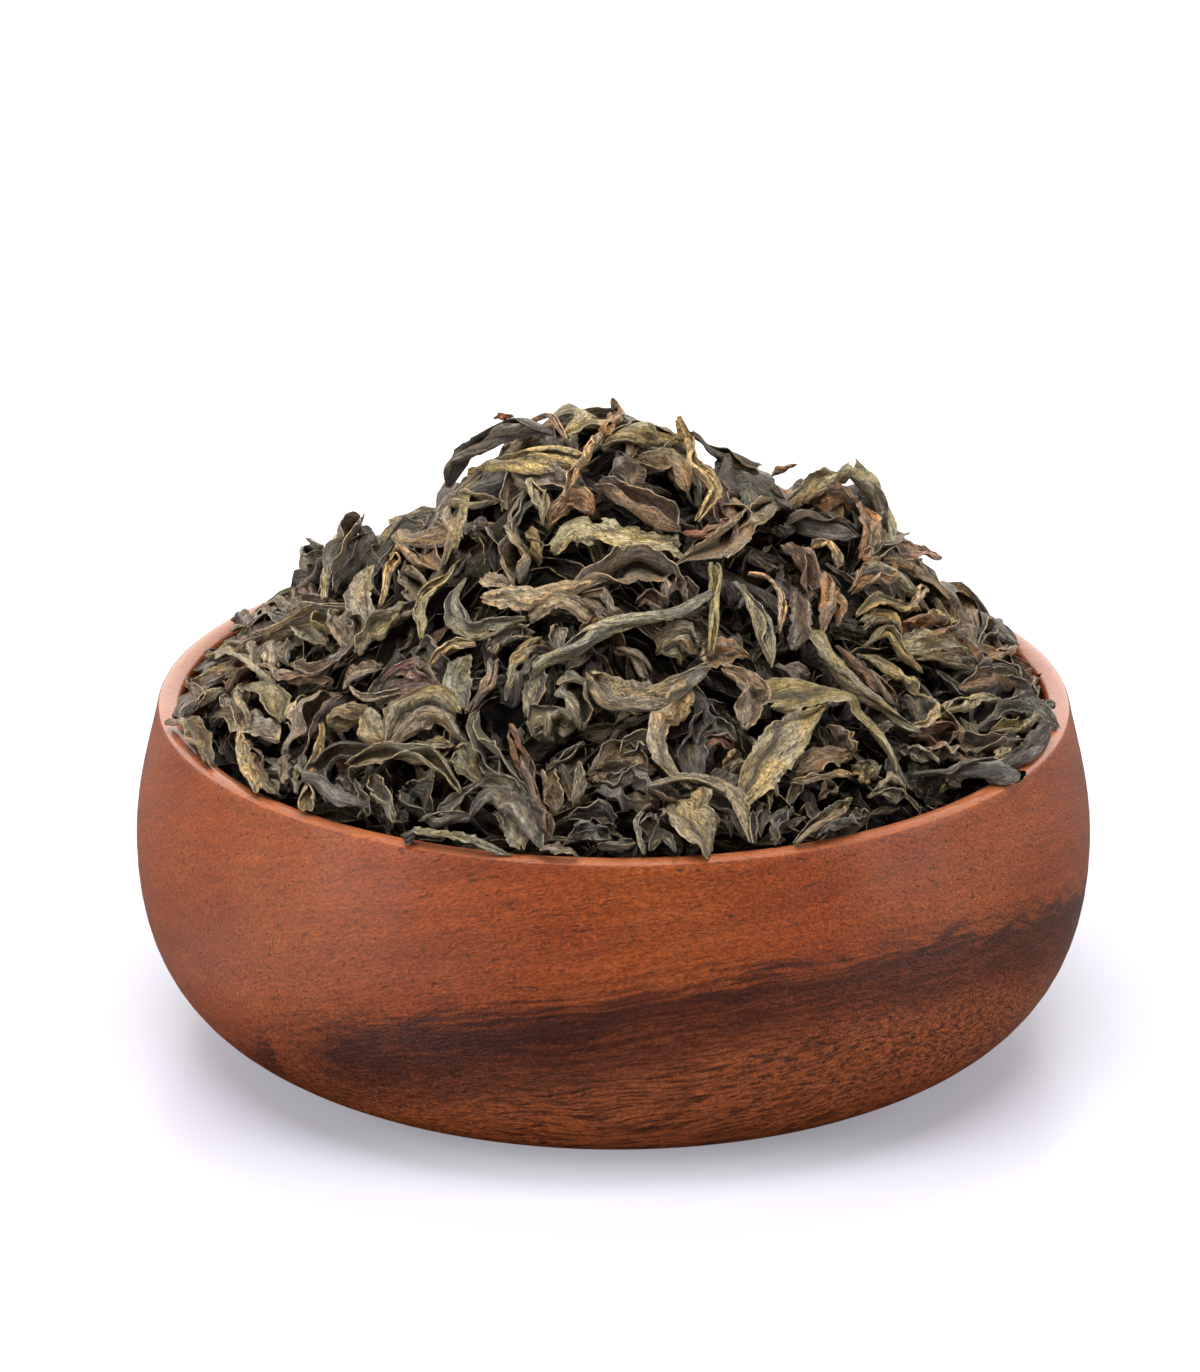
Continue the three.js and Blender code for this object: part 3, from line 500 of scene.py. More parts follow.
def smooth_line(points, count):
    """A curve through the points, as count places spaced evenly along it, and its length."""
    points = np.asarray(points, float)
    if len(points) == 2:
        points = np.stack([points[0], points.mean(axis=0), points[1]])
    gaps = np.linalg.norm(np.diff(points, axis=0), axis=1) ** 0.5
    knots = np.concatenate([[0], np.cumsum(gaps)])
    slopes = np.gradient(points, knots, axis=0)
    dense = np.linspace(0, knots[-1], 80)
    span = np.clip(np.searchsorted(knots, dense, side="right") - 1, 0, len(gaps) - 1)
    width = gaps[span][:, None]
    t = ((dense - knots[span])[:, None]) / width
    line = (
        (2 * t**3 - 3 * t**2 + 1) * points[span]
        + (t**3 - 2 * t**2 + t) * width * slopes[span]
        + (-2 * t**3 + 3 * t**2) * points[span + 1]
        + (t**3 - t**2) * width * slopes[span + 1]
    )
    walked = np.concatenate([[0], np.cumsum(np.linalg.norm(np.diff(line, axis=0), axis=1))])
    places = np.linspace(0, walked[-1], count)
    even = np.stack([np.interp(places, walked, line[:, k]) for k in range(3)], axis=1)
    return even, walked[-1]


def at(values, places):
    """Rows of values read at places from 0 to 1, between rows too."""
    index = np.clip(places, 0, 1) * (len(values) - 1)
    low = np.minimum(index.astype(int), len(values) - 2)
    share = (index - low)[..., None]
    return values[low] * (1 - share) + values[low + 1] * share


# One leaf


# The leaves of each piece: points, faces, and the tint with its painted light and shade, place on the leaf
# and relief, with the mask for painted light and shade, at each point
bunches = defaultdict(list)


def linear(color):
    """An on-screen colour from 0 to 255 as linear light."""
    share = np.asarray(color, float) / 255
    return np.where(share <= 0.04045, share / 12.92, ((share + 0.055) / 1.055) ** 2.4)


def quads(*corners):
    return np.stack(corners, -1).reshape(-1, 4)


def sheet_faces(rows, columns):
    """Quads of a closed thin sheet: upper grid, lower grid, and the wall between their edges."""
    upper = np.arange((rows + 1) * (columns + 1)).reshape(rows + 1, columns + 1)
    lower = upper + upper.size
    top = quads(upper[:-1, :-1], upper[1:, :-1], upper[1:, 1:], upper[:-1, 1:])
    bottom = quads(lower[:-1, :-1], lower[:-1, 1:], lower[1:, 1:], lower[1:, :-1])
    rim = np.concatenate([upper[0, :-1], upper[:-1, -1], upper[-1, :0:-1], upper[:0:-1, 0]])
    following = np.roll(rim, -1)
    wall = quads(rim, following, following + upper.size, rim + upper.size)
    return np.concatenate([top, bottom, wall])


def leaf_line(points, form, sink, calm, random):
    """A leaf's middle line over the heap, its length, and which way its width and its face point."""
    line, length = smooth_line(points, LINE_STEPS)
    tangent = unit(np.gradient(line, axis=0))
    clearance = line[:, 2] - heap_top(line[:, 0], line[:, 1])
    face = heap_normal(line[:, 0], line[:, 1])
    face = unit(face - (face * tangent).sum(axis=1, keepdims=True) * tangent)
    side = np.cross(tangent, face)
    place = np.linspace(0, 1, LINE_STEPS)
    loose = np.clip((clearance - 2) / 2, 0, 1)
    line = line - face * (sink * np.abs(2 * place - 1) ** 3 * (1 - loose))[:, None]
    held = np.sin(math.pi * place)
    for way in (side, face):
        line = line + way * (LINE_KINKS * calm * length * kinks(place, 4, random) * held)[:, None]
    turn = random.uniform(-0.5, 0.5)
    spin = random.choice([-1, 1]) * math.radians(FORMS[form].twist) * random.uniform(0.7, 1.2)
    turn = turn + spin * (place - 0.5) + 0.4 * kinks(place, 4, random)
    cosine, sine = np.cos(turn)[:, None], np.sin(turn)[:, None]
    return line, length, side * cosine + face * sine, face * cosine - side * sine


def section(form, along, across, random):
    """The leaf's cross-section at each place along it, about one unit wide: how far across and up its
    points lie, how much each is on a ridge and in a hollow, and the length of its bent width."""
    shape = FORMS[form]
    curl = math.radians(shape.curl) * random.uniform(0.85, 1.15) * (1 + 0.25 * waves(along, 2, random))
    fold = math.radians(shape.fold) * random.uniform(0.8, 1.1) * (1 + 0.2 * waves(along, 2, random))
    lean = math.radians(shape.lean) * (1 + 0.5 * waves(along, 3, random))
    lean = lean * (1 + 0.3 * waves(across, 2, random))
    phase = random.uniform(0, 6) + 1.5 * waves(along, 3, random)
    pleat = math.pi * shape.pleats * random.uniform(0.8, 1.25) * across + phase
    fine = math.pi * 3.1 * shape.pleats * across + 2 * phase
    tightening = across + 0.22 * across**2 * np.sign(curl)
    angle = curl / 2 * tightening + fold / 2 * np.tanh(across / 0.1)
    angle = angle + lean * crease(pleat) + 0.3 * lean * crease(fine)
    step = 2 / (across.shape[1] - 1)
    middle = (angle[:, 1:] + angle[:, :-1]) / 2
    start = np.zeros((len(angle), 1))
    paths = []
    for slope in (np.cos(middle), np.sin(middle)):
        path = np.concatenate([start, np.cumsum(slope, axis=1)], axis=1) * step
        paths.append(path - (path.max(axis=1, keepdims=True) + path.min(axis=1, keepdims=True)) / 2)
    x, y = paths
    breadth = max(np.ptp(x, axis=1).mean(), 0.8 * np.ptp(y, axis=1).mean())
    ridge = 0.5 - 0.5 * np.cos(pleat) * 0.8 - 0.1 * np.cos(fine)
    if shape.curl > 0:
        deep = y.max(axis=1, keepdims=True) - y
    else:
        deep = y - y.min(axis=1, keepdims=True)
    hollow = np.clip(deep / breadth, 0, 1) * min(abs(shape.curl) / 220, 1)
    return x / breadth, y / breadth * shape.flat, ridge, hollow, 2 / breadth


def outline(form, along, across, width, length, calm, random):
    """A leaf's taper, how ragged its sides are, and the places along it with its ends torn."""
    first, last = random.choice(END_CUTS, 2, p=END_CHANCES)
    tear = TORN_ENDS
    if form == "piece":
        first, last, tear = PIECE_CUT, PIECE_CUT, PIECE_TORN_ENDS
    widest = random.uniform(0.32, 0.68)
    stretched = along ** (math.log(0.5) / math.log(widest))
    bluntness = 0.45 if form in ("twist", "stem", "piece") else random.uniform(0.55, 0.85)
    taper = np.sin(math.pi * (first + (1 - first - last) * stretched)) ** bluntness
    taper = taper * (1 + TAPER_KINKS * calm * kinks(along, 6, random))
    nicks = random.normal(size=(2, len(along))) * NICKS / (width / 2)
    nicks = np.where(across > 0, nicks[0][:, None], nicks[1][:, None])
    torn_side = np.where(across > 0, waves(along, 12, random), waves(along, 12, random))
    ragged = 1 + (RAGGED_SIDES * torn_side + nicks) * np.abs(across) ** 5
    notch = random.uniform(0.2, 0.8)
    bite = np.exp(-(((along - notch) * length / 0.9) ** 2)) * random.choice([-1, 1])
    ragged = ragged - BITE * random.random() * np.clip(bite * across, 0, 1) ** 2
    end = np.exp(-((along / 0.07) ** 2)) - np.exp(-(((1 - along) / 0.07) ** 2))
    torn = along + end * (tear * width / length) * (0.5 + waves(across, 3, random))
    return taper, ragged, torn


def rest_on_bowl(points):
    """Lifts points over the rim onto it, and keeps all of them within the bowl's reach."""
    radius = np.hypot(points[:, 0], points[:, 1])
    on_rim = (radius > RIM_INNER_RADIUS - 0.6) & (radius < BELLY_RADIUS)
    points[on_rim, 2] = np.maximum(points[on_rim, 2], BOWL_HEIGHT + RIM_GAP)
    points[:, :2] /= np.maximum(radius / LEAF_REACH, 1)[:, None]


def add_leaf(name, form, tone, points, width, random, rows, columns, sink, shade=1.0, calm=1.0, vary=0.5):
    """Adds one thin closed leaf that follows the points over the heap. Its ends sink in, calm evens its
    shape, shade is the painted light and shade in its tint, and vary is how far its brightness strays from
    shade."""
    line, length, side, face = leaf_line(points, form, sink, calm, random)
    places = np.linspace(0, 1, rows + 1), np.linspace(-1, 1, columns + 1)
    along, across = np.meshgrid(*places, indexing="ij")
    x, y, ridge, hollow, arc = section(form, along, across, random)
    taper, ragged, torn = outline(form, along, across, width, length, calm, random)
    x = x * width * taper * ragged
    y = y * width * taper * (0.9 + 0.3 * waves(along, 4, random))
    bent = DENTS * facets(along, across, 5, random) + SIDE_WAVES * waves(along, 8, random) * across**2
    y = y + width * calm * bent
    y = y + SMALL_DENTS * facets(along * length / 5, across * width / 2.4, 5, random)
    grid = at(line, torn) + at(side, torn) * x[..., None] + at(face, torn) * y[..., None]
    normal = unit(np.cross(np.gradient(grid, axis=0), np.gradient(grid, axis=1)))
    from_side = (1 - np.abs(across)) * arc * width / 2 * taper
    from_edge = np.minimum(from_side, np.minimum(along, 1 - along) * length)
    thin = LEAF_THICKNESS / 2 * (0.4 + 0.6 * np.clip(from_edge / 0.5, 0, 1))[..., None]
    solid = np.concatenate([(grid - normal * thin).reshape(-1, 3), (grid + normal * thin).reshape(-1, 3)])
    rest_on_bowl(solid)

    # The tint carries painted light and shade: shade brightens the shown leaves towards the crown and darkens
    # low, deep leaves and crumbs
    bright = shade * random.uniform(1 - vary, 1 + vary)
    tint = linear(TONES[tone]) * bright * (1 + 0.17 * vary * random.normal(size=3))
    tints = np.broadcast_to(np.append(tint, 1), (len(solid), 4))
    own_number = np.full_like(along, 100 * random.random())
    space = np.stack([along * length, across * arc * width / 2, own_number], -1).reshape(-1, 3)
    pale_edge = np.full_like(along, max(0.0, random.uniform(-0.6, 0.95)))
    # Painted light and shade: a mask that lightens the pleats' ridges, darkens their valleys, and darkens the
    # hollows of curled leaves
    within, without = (hollow, 0) if FORMS[form].curl > 0 else (0, hollow)
    painted_light_reliefs = []
    for lit in (ridge * (1 - 0.7 * within), (1 - ridge) * (1 - 0.7 * without)):
        painted_light_reliefs.append(np.stack([lit, from_edge, pale_edge], -1).reshape(-1, 3))
    faces = sheet_faces(rows, columns)
    bunches[name].append((solid, faces, tints, np.tile(space, (2, 1)), np.concatenate(painted_light_reliefs)))


# All the leaves


class Draws:
    """The fixed row of draws that also places the leaves of the solid heap."""

    def __init__(self, state):
        self.state = state

    def next(self, low=0.0, high=1.0):
        self.state = (self.state * 16807) % 2147483647
        return low + (high - low) * (self.state / 2147483647)


def lying(x, y, heading, length, bow, lift):
    """Three points of a leaf that lies on the heap."""
    limit = HEAP_RADIUS + (1 if lift > -0.5 else -2.5)
    points = []
    for share, sideways in ((-0.5, 0), (0.0, bow), (0.5, 0)):
        px = x + share * length * math.cos(heading) - sideways * math.sin(heading)
        py = y + share * length * math.sin(heading) + sideways * math.cos(heading)
        reach = math.hypot(px, py)
        if reach > limit:
            px, py = px * limit / reach, py * limit / reach
        points.append((px, py, float(heap_top(px, py)) + lift))
    return np.array(points)


def spiral(index, count, radius):
    """One of count places spread evenly over a circle, and its angle."""
    reach = radius * math.sqrt((index + 0.5) / count)
    angle = index * GOLDEN_ANGLE
    return reach * math.cos(angle), reach * math.sin(angle), angle


def scattered(index, count, radius, spread, random):
    """A place somewhere near one of the spiral's, and its angle."""
    x, y, angle = spiral(index, count, radius)
    return x + random.normal() * spread, y + random.normal() * spread, angle


def add_shown_leaves(random):
    for form, tone, width, lift, *places in SHOWN_LEAVES:
        points = [sighted(place, lift) for place in places]
        length = np.linalg.norm(np.diff(points, axis=0), axis=1).sum()
        rows = int(np.clip(length * 2.0, 12, 52))
        columns = 18 if width > 2.2 else 12
        across, up = places[0]
        # Painted light in the tint: brighter from the front rim up to the crown and on the right, light tones
        # only up to a limit
        shade = float(np.interp(up, LIT_HEIGHTS, LIT_SHADES)) + RIGHT_SHADE * (across > RIGHT_SIDE)
        if tone in LIGHT_TONES:
            shade = min(shade, LIGHT_TONE_SHADE)
        add_leaf(
            form, form, tone, points, width * 1.06, random, rows, columns,
            sink=0.8, shade=shade, calm=0.85, vary=0.28,
        )


def add_spare_leaves(random):
    """The leaves that the solid heap has round its sides and back. There they follow one draw for each
    of its leaves in front."""
    draws = Draws(SOLID_HEAP_SEED)
    for _ in range(SOLID_HEAP_SHOWN):
        draws.next()
    forms = ["boat", "roll", "fold", "flat", "arch"]
    tones = ["grey", "slate", "olive", "khaki", "mauve"]
    for index in range(SPARE_LEAVES):
        x, y, angle = spiral(index, SPARE_LEAVES, HEAP_RADIUS - 4)
        length = draws.next(15, 25)
        heading = angle + math.pi / 2 + draws.next(-1.1, 1.1)
        bow = draws.next(-3, 3)
        width = draws.next(2.8, 4.2)
        points = lying(x, y, heading, length, bow, 0.4)
        if facing(points[1]) >= SPARE_FACING:
            continue
        draws.next()
        form = forms[index % 5]
        add_leaf(form, form, tones[(index * 2) % 5], points, width, random, 34, 12, 1.6)


def add_top_leaves(random):
    """Leaves on top all round, where the photograph doesn't show which lie there."""
    forms = ["roll"] * 3 + ["fold"] * 3 + ["boat"] * 3 + ["flat", "flat", "arch", "crumple"]
    for index in range(TOP_LEAVES):
        x, y, angle = scattered(index, TOP_LEAVES, HEAP_RADIUS - 1, 1.5, random)
        shown = facing(np.array([x, y, heap_top(x, y)]))
        if shown > TOP_FACING:
            continue
        length = random.uniform(10, 26)
        heading = angle + math.pi / 2 + random.normal() * 0.8
        lift = random.uniform(-1.2, 1.0) if shown < FAR_FACING else random.uniform(-2, 0)
        points = lying(x, y, heading, length, random.uniform(-2.5, 2.5), lift)
        form = random.choice(forms)
        width = random.uniform(2.0, 4.8)
        rows = int(length * 1.2) + 4
        add_leaf(form, form, random.choice(TOP_TONES), points, width, random, rows, 10, 1.4)


def add_under_leaves(random):
    """Leaves lying deeper, which show in the gaps. Their tints are darkened with painted shade, more the
    deeper they lie, as less light reaches them.
    """
    forms = ["roll", "fold", "fold", "boat", "flat", "crumple"]
    for index in range(UNDER_LEAVES):
        x, y, _ = scattered(index, UNDER_LEAVES, HEAP_RADIUS - 1.5, 1.5, random)
        length = random.uniform(8, 19)
        heading = random.uniform(0, 2 * math.pi)
        lift = random.uniform(-7.5, -2.6)
        points = lying(x, y, heading, length, random.uniform(-2, 2), lift)
        form = random.choice(forms)
        width = random.uniform(1.8, 4.0)
        name = "under_rolled" if form in ("roll", "crumple") else "under_open"
        tone = random.choice(UNDER_TONES)
        add_leaf(name, form, tone, points, width, random, 13, 6, 0.8, UNDER_SHADE + UNDER_DARKENING * lift)


def add_crumbs(random):
    """Broken bits of leaf caught between the others. Their tints are darkened with painted shade."""
    for index in range(CRUMBS):
        x, y, _ = scattered(index, CRUMBS, HEAP_RADIUS - 0.5, 2, random)
        length = random.uniform(2.0, 6.5)
        lift = random.uniform(-3.2, -0.9)
        points = lying(x, y, random.uniform(0, 2 * math.pi), length, 0, lift)
        form = random.choice(["flat", "boat", "crumple", "roll"])
        width = random.uniform(0.7, 2.2)
        add_leaf("crumbs", form, random.choice(TOP_TONES), points, width, random, 6, 5, 0, CRUMB_SHADE)


# Meshes


def add_object(name, data):
    thing = bpy.data.objects.new(name, data)
    bpy.context.scene.collection.objects.link(thing)
    return thing


def make_bunch(name, leaves, material):
    """All the leaves of one piece as one mesh, with what their material needs at each point."""
    points, faces, tints, spaces, painted_light_reliefs = zip(*leaves)
    starts = np.cumsum([0] + [len(leaf) for leaf in points])
    faces = np.concatenate([leaf + start for leaf, start in zip(faces, starts)]).astype(np.int32)
    points = np.concatenate(points).astype(np.float32) * MM
    mesh = bpy.data.meshes.new(name)
    mesh.vertices.add(len(points))
    mesh.vertices.foreach_set("co", points.ravel())
    mesh.loops.add(faces.size)
    mesh.loops.foreach_set("vertex_index", faces.ravel())
    mesh.polygons.add(len(faces))
    mesh.polygons.foreach_set("loop_start", np.arange(0, faces.size, faces.shape[1], dtype=np.int32))
    mesh.update(calc_edges=True)
    mesh.validate()
    mesh.shade_smooth()
    mesh.set_sharp_from_angle(angle=math.radians(FOLD_ANGLE))
    carried = (
        ("tint", "FLOAT_COLOR", "color", tints),
        ("leafspace", "FLOAT_VECTOR", "vector", spaces),
        ("painted_light_relief", "FLOAT_VECTOR", "vector", painted_light_reliefs),
    )
    for label, kind, field, values in carried:
        attribute = mesh.attributes.new(label, kind, "POINT")
        attribute.data.foreach_set(field, np.concatenate(values).astype(np.float32).ravel())
    mesh.materials.append(material)
    thing = add_object(name, mesh)
    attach(thing, BODY)
    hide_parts(HEAP_NODE)


def turned(name, profile, segments):
    """A smooth object: a profile of radius and height turned about Z, with both ends on the axis."""
    profile = np.asarray(profile, float)
    angles = np.arange(segments) * 2 * math.pi / segments
    rings = profile[1:-1]
    x = rings[:, :1] * np.cos(angles)
    y = rings[:, :1] * np.sin(angles)
    z = np.broadcast_to(rings[:, 1:], x.shape)
    points = np.stack([x, y, z], -1).reshape(-1, 3)
    first = np.full(segments, len(points))
    index = np.arange(len(points)).reshape(len(rings), segments)
    following = np.roll(index, -1, axis=1)
    faces = quads(index[:-1], following[:-1], following[1:], index[1:]).tolist()
    faces += np.stack([first, following[0], index[0]], -1).tolist()
    faces += np.stack([first + 1, index[-1], following[-1]], -1).tolist()
    points = np.concatenate([points, [(0, 0, profile[0, 1]), (0, 0, profile[-1, 1])]])
    mesh = bpy.data.meshes.new(name)
    mesh.from_pydata((points * MM).tolist(), [], faces)
    mesh.update()
    mesh.shade_smooth()
    return add_object(name, mesh)


def curve(count, *corners):
    """Points of a Bezier curve with four corners."""
    t = np.linspace(0, 1, count + 1)[:, None]
    a, b, c, d = (np.array(corner, float) for corner in corners)
    return (1 - t) ** 3 * a + 3 * (1 - t) ** 2 * t * b + 3 * (1 - t) * t**2 * c + t**3 * d


def bowl_profile():
    """Radius and height from the middle of the foot, out, up, over the rim and back in to the middle."""
    belly = (BELLY_RADIUS, BELLY_HEIGHT)
    outer, inner = RIM_OUTER_RADIUS, RIM_INNER_RADIUS
    edge, over, floor = RIM_EDGE_HEIGHT, BOWL_HEIGHT + 0.15, FLOOR_THICKNESS
    lower = curve(22, (FOOT_RADIUS, 0), (FOOT_RADIUS + 5, 1.4), (BELLY_RADIUS, 1.2), belly)
    upper = curve(18, belly, (BELLY_RADIUS, BELLY_HEIGHT + 7), (outer + 1.2, edge - 5.7), (outer, edge))
    handles = (outer - 0.7, over), (inner + 0.9, over)
    crown = curve(14, (outer - 0.15, edge + 0.3), *handles, (inner + 0.15, edge + 0.1))
    handles = (inner + 1.6, edge - 6.6), (inner + 1, floor)
    inside = curve(22, (inner, edge - 0.3), *handles, (FLOOR_RADIUS, floor))
    foot_middle = [(0, 0), (FOOT_RADIUS / 2, 0)]
    floor_middle = [(FLOOR_RADIUS / 2, floor), (0, floor)]
    return np.concatenate([foot_middle, lower, upper[1:], crown, inside, floor_middle])


def make_bowl(wall_wood, rim_wood):
    bowl = turned("turned_bowl", bowl_profile(), BOWL_SEGMENTS)
    bowl.data.materials.append(wall_wood)
    bowl.data.materials.append(rim_wood)
    for face in bowl.data.polygons:
        face.material_index = int(face.center.z > (RIM_EDGE_HEIGHT + 0.25) * MM)
    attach(bowl, BODY)
    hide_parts(BOWL_NODE)


def make_core(material):
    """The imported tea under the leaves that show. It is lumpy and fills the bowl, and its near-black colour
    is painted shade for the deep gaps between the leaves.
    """
    radii = CORE_RADIUS * np.cos(np.linspace(0, math.pi / 2, CORE_RINGS))
    core = turned("tea_core", CORE_WALL + [(radius, HEAP_FOOT) for radius in radii], CORE_SEGMENTS)
    points = np.empty(len(core.data.vertices) * 3)
    core.data.vertices.foreach_get("co", points)
    points = points.reshape(-1, 3) / MM
    x, y = points[:, 0], points[:, 1]
    lumps = 0.7 * np.sin(0.9 * x + 1.3 * np.sin(0.5 * y)) * np.sin(0.8 * y + 0.7)
    lumps = lumps + 0.5 * np.sin(2.1 * x - 1.7 * y)
    reach = np.hypot(x, y)
    depth = CORE_DEPTH * np.clip((CORE_RADIUS + 6 - reach) / 12, 0.75, 1)
    height = np.maximum(heap_top(x, y) - depth + lumps, CORE_EDGE)
    rise = np.clip((CORE_RADIUS - reach) / 1.5, 0, 1)
    top = points[:, 2] > HEAP_FOOT - 0.5
    points[top, 2] = (CORE_EDGE + (height - CORE_EDGE) * rise)[top]
    core.data.vertices.foreach_set("co", (points * MM).ravel())
    core.data.update()
    core.data.materials.append(material)
    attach(core, BODY)
    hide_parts(HEAP_NODE)


# Nodes of the materials and of the light all round


class Field:
    """A number, place or colour that nodes work out at each point."""

    def __init__(self, tree, socket):
        self.tree = tree
        self.socket = socket

    def __add__(self, other):
        return self.tree.math("ADD", self, other)

    def __sub__(self, other):
        return self.tree.math("SUBTRACT", self, other)

    def __mul__(self, other):
        return self.tree.math("MULTIPLY", self, other)

    def __abs__(self):
        return self.tree.math("ABSOLUTE", self)

    def larger(self, other):
        return self.tree.math("MAXIMUM", self, other)

    def output(self, name):
        """Another output of the same node."""
        return Field(self.tree, self.socket.node.outputs[name])

    def parts(self):
        """The three parts of a place."""
        first = self.tree.node("ShaderNodeSeparateXYZ", {0: self})
        return [first.output(name) for name in "XYZ"]

    def ramp(self, low, high, to_low=0.0, to_high=1.0):
        """Eases from to_low where the number is low to to_high where it is high."""
        inputs = {"Value": self, "From Min": low, "From Max": high, "To Min": to_low, "To Max": to_high}
        return self.tree.node("ShaderNodeMapRange", inputs, interpolation_type="SMOOTHSTEP")

    def as_grey(self):
        return self.tree.node("ShaderNodeCombineColor", {0: self, 1: self, 2: self})


class NodeTree:
    """A short way to add nodes."""

    def __init__(self, tree):
        self.nodes = tree.nodes
        self.links = tree.links

    def feed(self, socket, value):
        if isinstance(value, Field):
            self.links.new(value.socket, socket)
        else:
            socket.default_value = value

    def node(self, kind, inputs=None, output=0, **settings):
        node = self.nodes.new(kind)
        for key, value in settings.items():
            setattr(node, key, value)
        for key, value in (inputs or {}).items():
            self.feed(node.inputs[key], value)
        return Field(self, node.outputs[output])

    def math(self, operation, a, b=0.0):
        return self.node("ShaderNodeMath", {0: a, 1: b}, operation=operation)

    def mix(self, share, a, b, blend="MIX"):
        """Two colours blended. A colour given as numbers is as it looks, from 0 to 255."""
        a, b = ((*linear(color), 1.0) if isinstance(color, tuple) else color for color in (a, b))
        return self.node("ShaderNodeMix", {0: share, 6: a, 7: b}, 2, data_type="RGBA", blend_type=blend)

    def noise(self, place, stretch, detail=2.0, roughness=0.55, distortion=0.0):
        """Clouds about 0.5, finer the larger the numbers in stretch."""
        stretched = self.node("ShaderNodeMapping", {"Vector": place, "Scale": stretch})
        inputs = {"Vector": stretched, "Scale": 1.0, "Detail": detail, "Roughness": roughness}
        inputs["Distortion"] = distortion
        return self.node("ShaderNodeTexNoise", inputs, "Fac")


class Surface(NodeTree):
    """The nodes of a new material."""

    def __init__(self, name):
        self.material = bpy.data.materials.new(name)
        self.material.use_nodes = True
        super().__init__(self.material.node_tree)

    def attribute(self, name, output="Vector"):
        return self.node("ShaderNodeAttribute", output=output, attribute_name=name)

    def own_place(self):
        """The place on the object, in metres."""
        return self.node("ShaderNodeTexCoord", output="Object")

    def own_place_mm(self):
        return self.node("ShaderNodeMapping", {"Vector": self.own_place(), "Scale": (1 / MM, 1 / MM, 1 / MM)})

    def bump(self, height, strength, distance_mm):
        inputs = {"Height": height, "Strength": strength, "Distance": distance_mm * MM}
        return self.node("ShaderNodeBump", inputs)

    def finished(self, inputs):
        """The material, with the inputs of its surface fed."""
        for name, value in inputs.items():
            self.feed(self.nodes["Principled BSDF"].inputs[name], value)
        return self.material


# Materials


def leaf_material(name, sheet, shine=0.55):
    """Dried leaf. Rolled leaves are lined along their length, open sheets are grainy with veins."""
    surface = Surface(name)
    tint = surface.attribute("tint", "Color")
    space = surface.attribute("leafspace")
    ridge, edge, pale_edge = surface.attribute("painted_light_relief").parts()
    streak = surface.noise(space, (0.24, 1.9, 1), 5, 0.62)
    fibre = surface.noise(space, (0.6, 7.0, 1), 3, 0.6)
    grains = surface.noise(space, (2.1, 2.8, 1), 4, 0.75)
    mottle = surface.noise(space, (1.0, 1.6, 1), 6, 0.7)
    patch = surface.noise(space, (0.13, 0.25, 1))
    long_fold = abs(surface.noise(space, (0.17, 0.8, 1), distortion=0.3) - 0.5)
    short_fold = abs(surface.noise(space, (0.45, 1.7, 1), distortion=0.4) - 0.5)
    line = abs(surface.noise(space, (0.4, 3.4, 1), 1, 0.6, 0.2) - 0.5)
    # Painted highlight: thin light lines along both lips of each crack
    crack_lip_highlight = line.ramp(0.03, 0.055) * line.ramp(0.1, 0.06)
    crack = line.ramp(0.034, 0.004, 0.0, 0.5 if sheet else 0.9)
    fold = long_fold.ramp(0.022, 0.003).larger(short_fold.ramp(0.014, 0.002, 0.0, 0.6)).larger(crack)
    streak_depth = 0.16 if sheet else 0.36
    grain_depth = 0.6 if sheet else 0.5

    brownish = surface.mix(1.0, tint, (255, 239, 212), "MULTIPLY")
    greyish = surface.mix(0.42, tint, (106, 99, 92))
    color = surface.mix(patch.ramp(0.42, 0.58), brownish, greyish)
    shade = streak.ramp(0.36, 0.64, 1.04 - streak_depth, 1.04 + streak_depth)
    shade = shade + mottle.ramp(0.36, 0.64, -0.28, 0.28)
    shade = shade + grains.ramp(0.38, 0.62, -grain_depth, grain_depth)
    shade = shade + fibre.ramp(0.35, 0.65, -streak_depth / 2, streak_depth / 2)
    shade = shade + crack_lip_highlight * (0.3 if sheet else 0.5)
    color = surface.mix(1.0, color, shade.as_grey(), "MULTIPLY")
    # Painted highlight on the pleats' ridges, and painted shade in their valleys and in the hollows of curled
    # leaves
    ridge_highlight = ridge.ramp(0.6, 1.0) * mottle.ramp(0.42, 0.6)
    color = surface.mix(ridge_highlight * 0.56, color, (188, 180, 160))
    color = surface.mix(ridge.ramp(0.42, 0.0, 0.0, 0.72), color, (26, 18, 11))
    # Dark folds and cracks: painted shade in the creases, and the cracks' own dark colour
    color = surface.mix(fold * 0.78, color, (24, 17, 10))
    # Pale edges: the leaves' paler edge colour, and a painted highlight along the edges
    rim = edge.ramp(0.2, 0.06) * mottle.ramp(0.4, 0.56) * pale_edge
    color = surface.mix(rim * 0.9, color, (182, 158, 116))

    height = long_fold * 2.6 + short_fold * 1.6 + streak * (0.3 if sheet else 1.3)
    height = height + fibre * (0.2 if sheet else 0.6) + mottle * 0.8 - crack * 0.35 + grains * 0.8
    if sheet:
        along, across, _ = space.parts()
        run = along - abs(across) * 1.3 + patch * 2.0
        side_vein = abs(surface.math("SINE", run * 1.25)).ramp(0.1, 0.0)
        midrib = abs(across).ramp(0.22, 0.08)
        vein = (side_vein * 0.45).larger(midrib) * mottle.ramp(0.35, 0.55)
        color = surface.mix(vein * 0.42, color, (176, 152, 104))
        height = height + vein * 0.6
    return surface.finished({
        "Base Color": color,
        "Roughness": mottle.ramp(0.36, 0.64, 0.3, 0.54),
        "Normal": surface.bump(height, 1.0, 0.42),
        "Specular IOR Level": shine,
    })


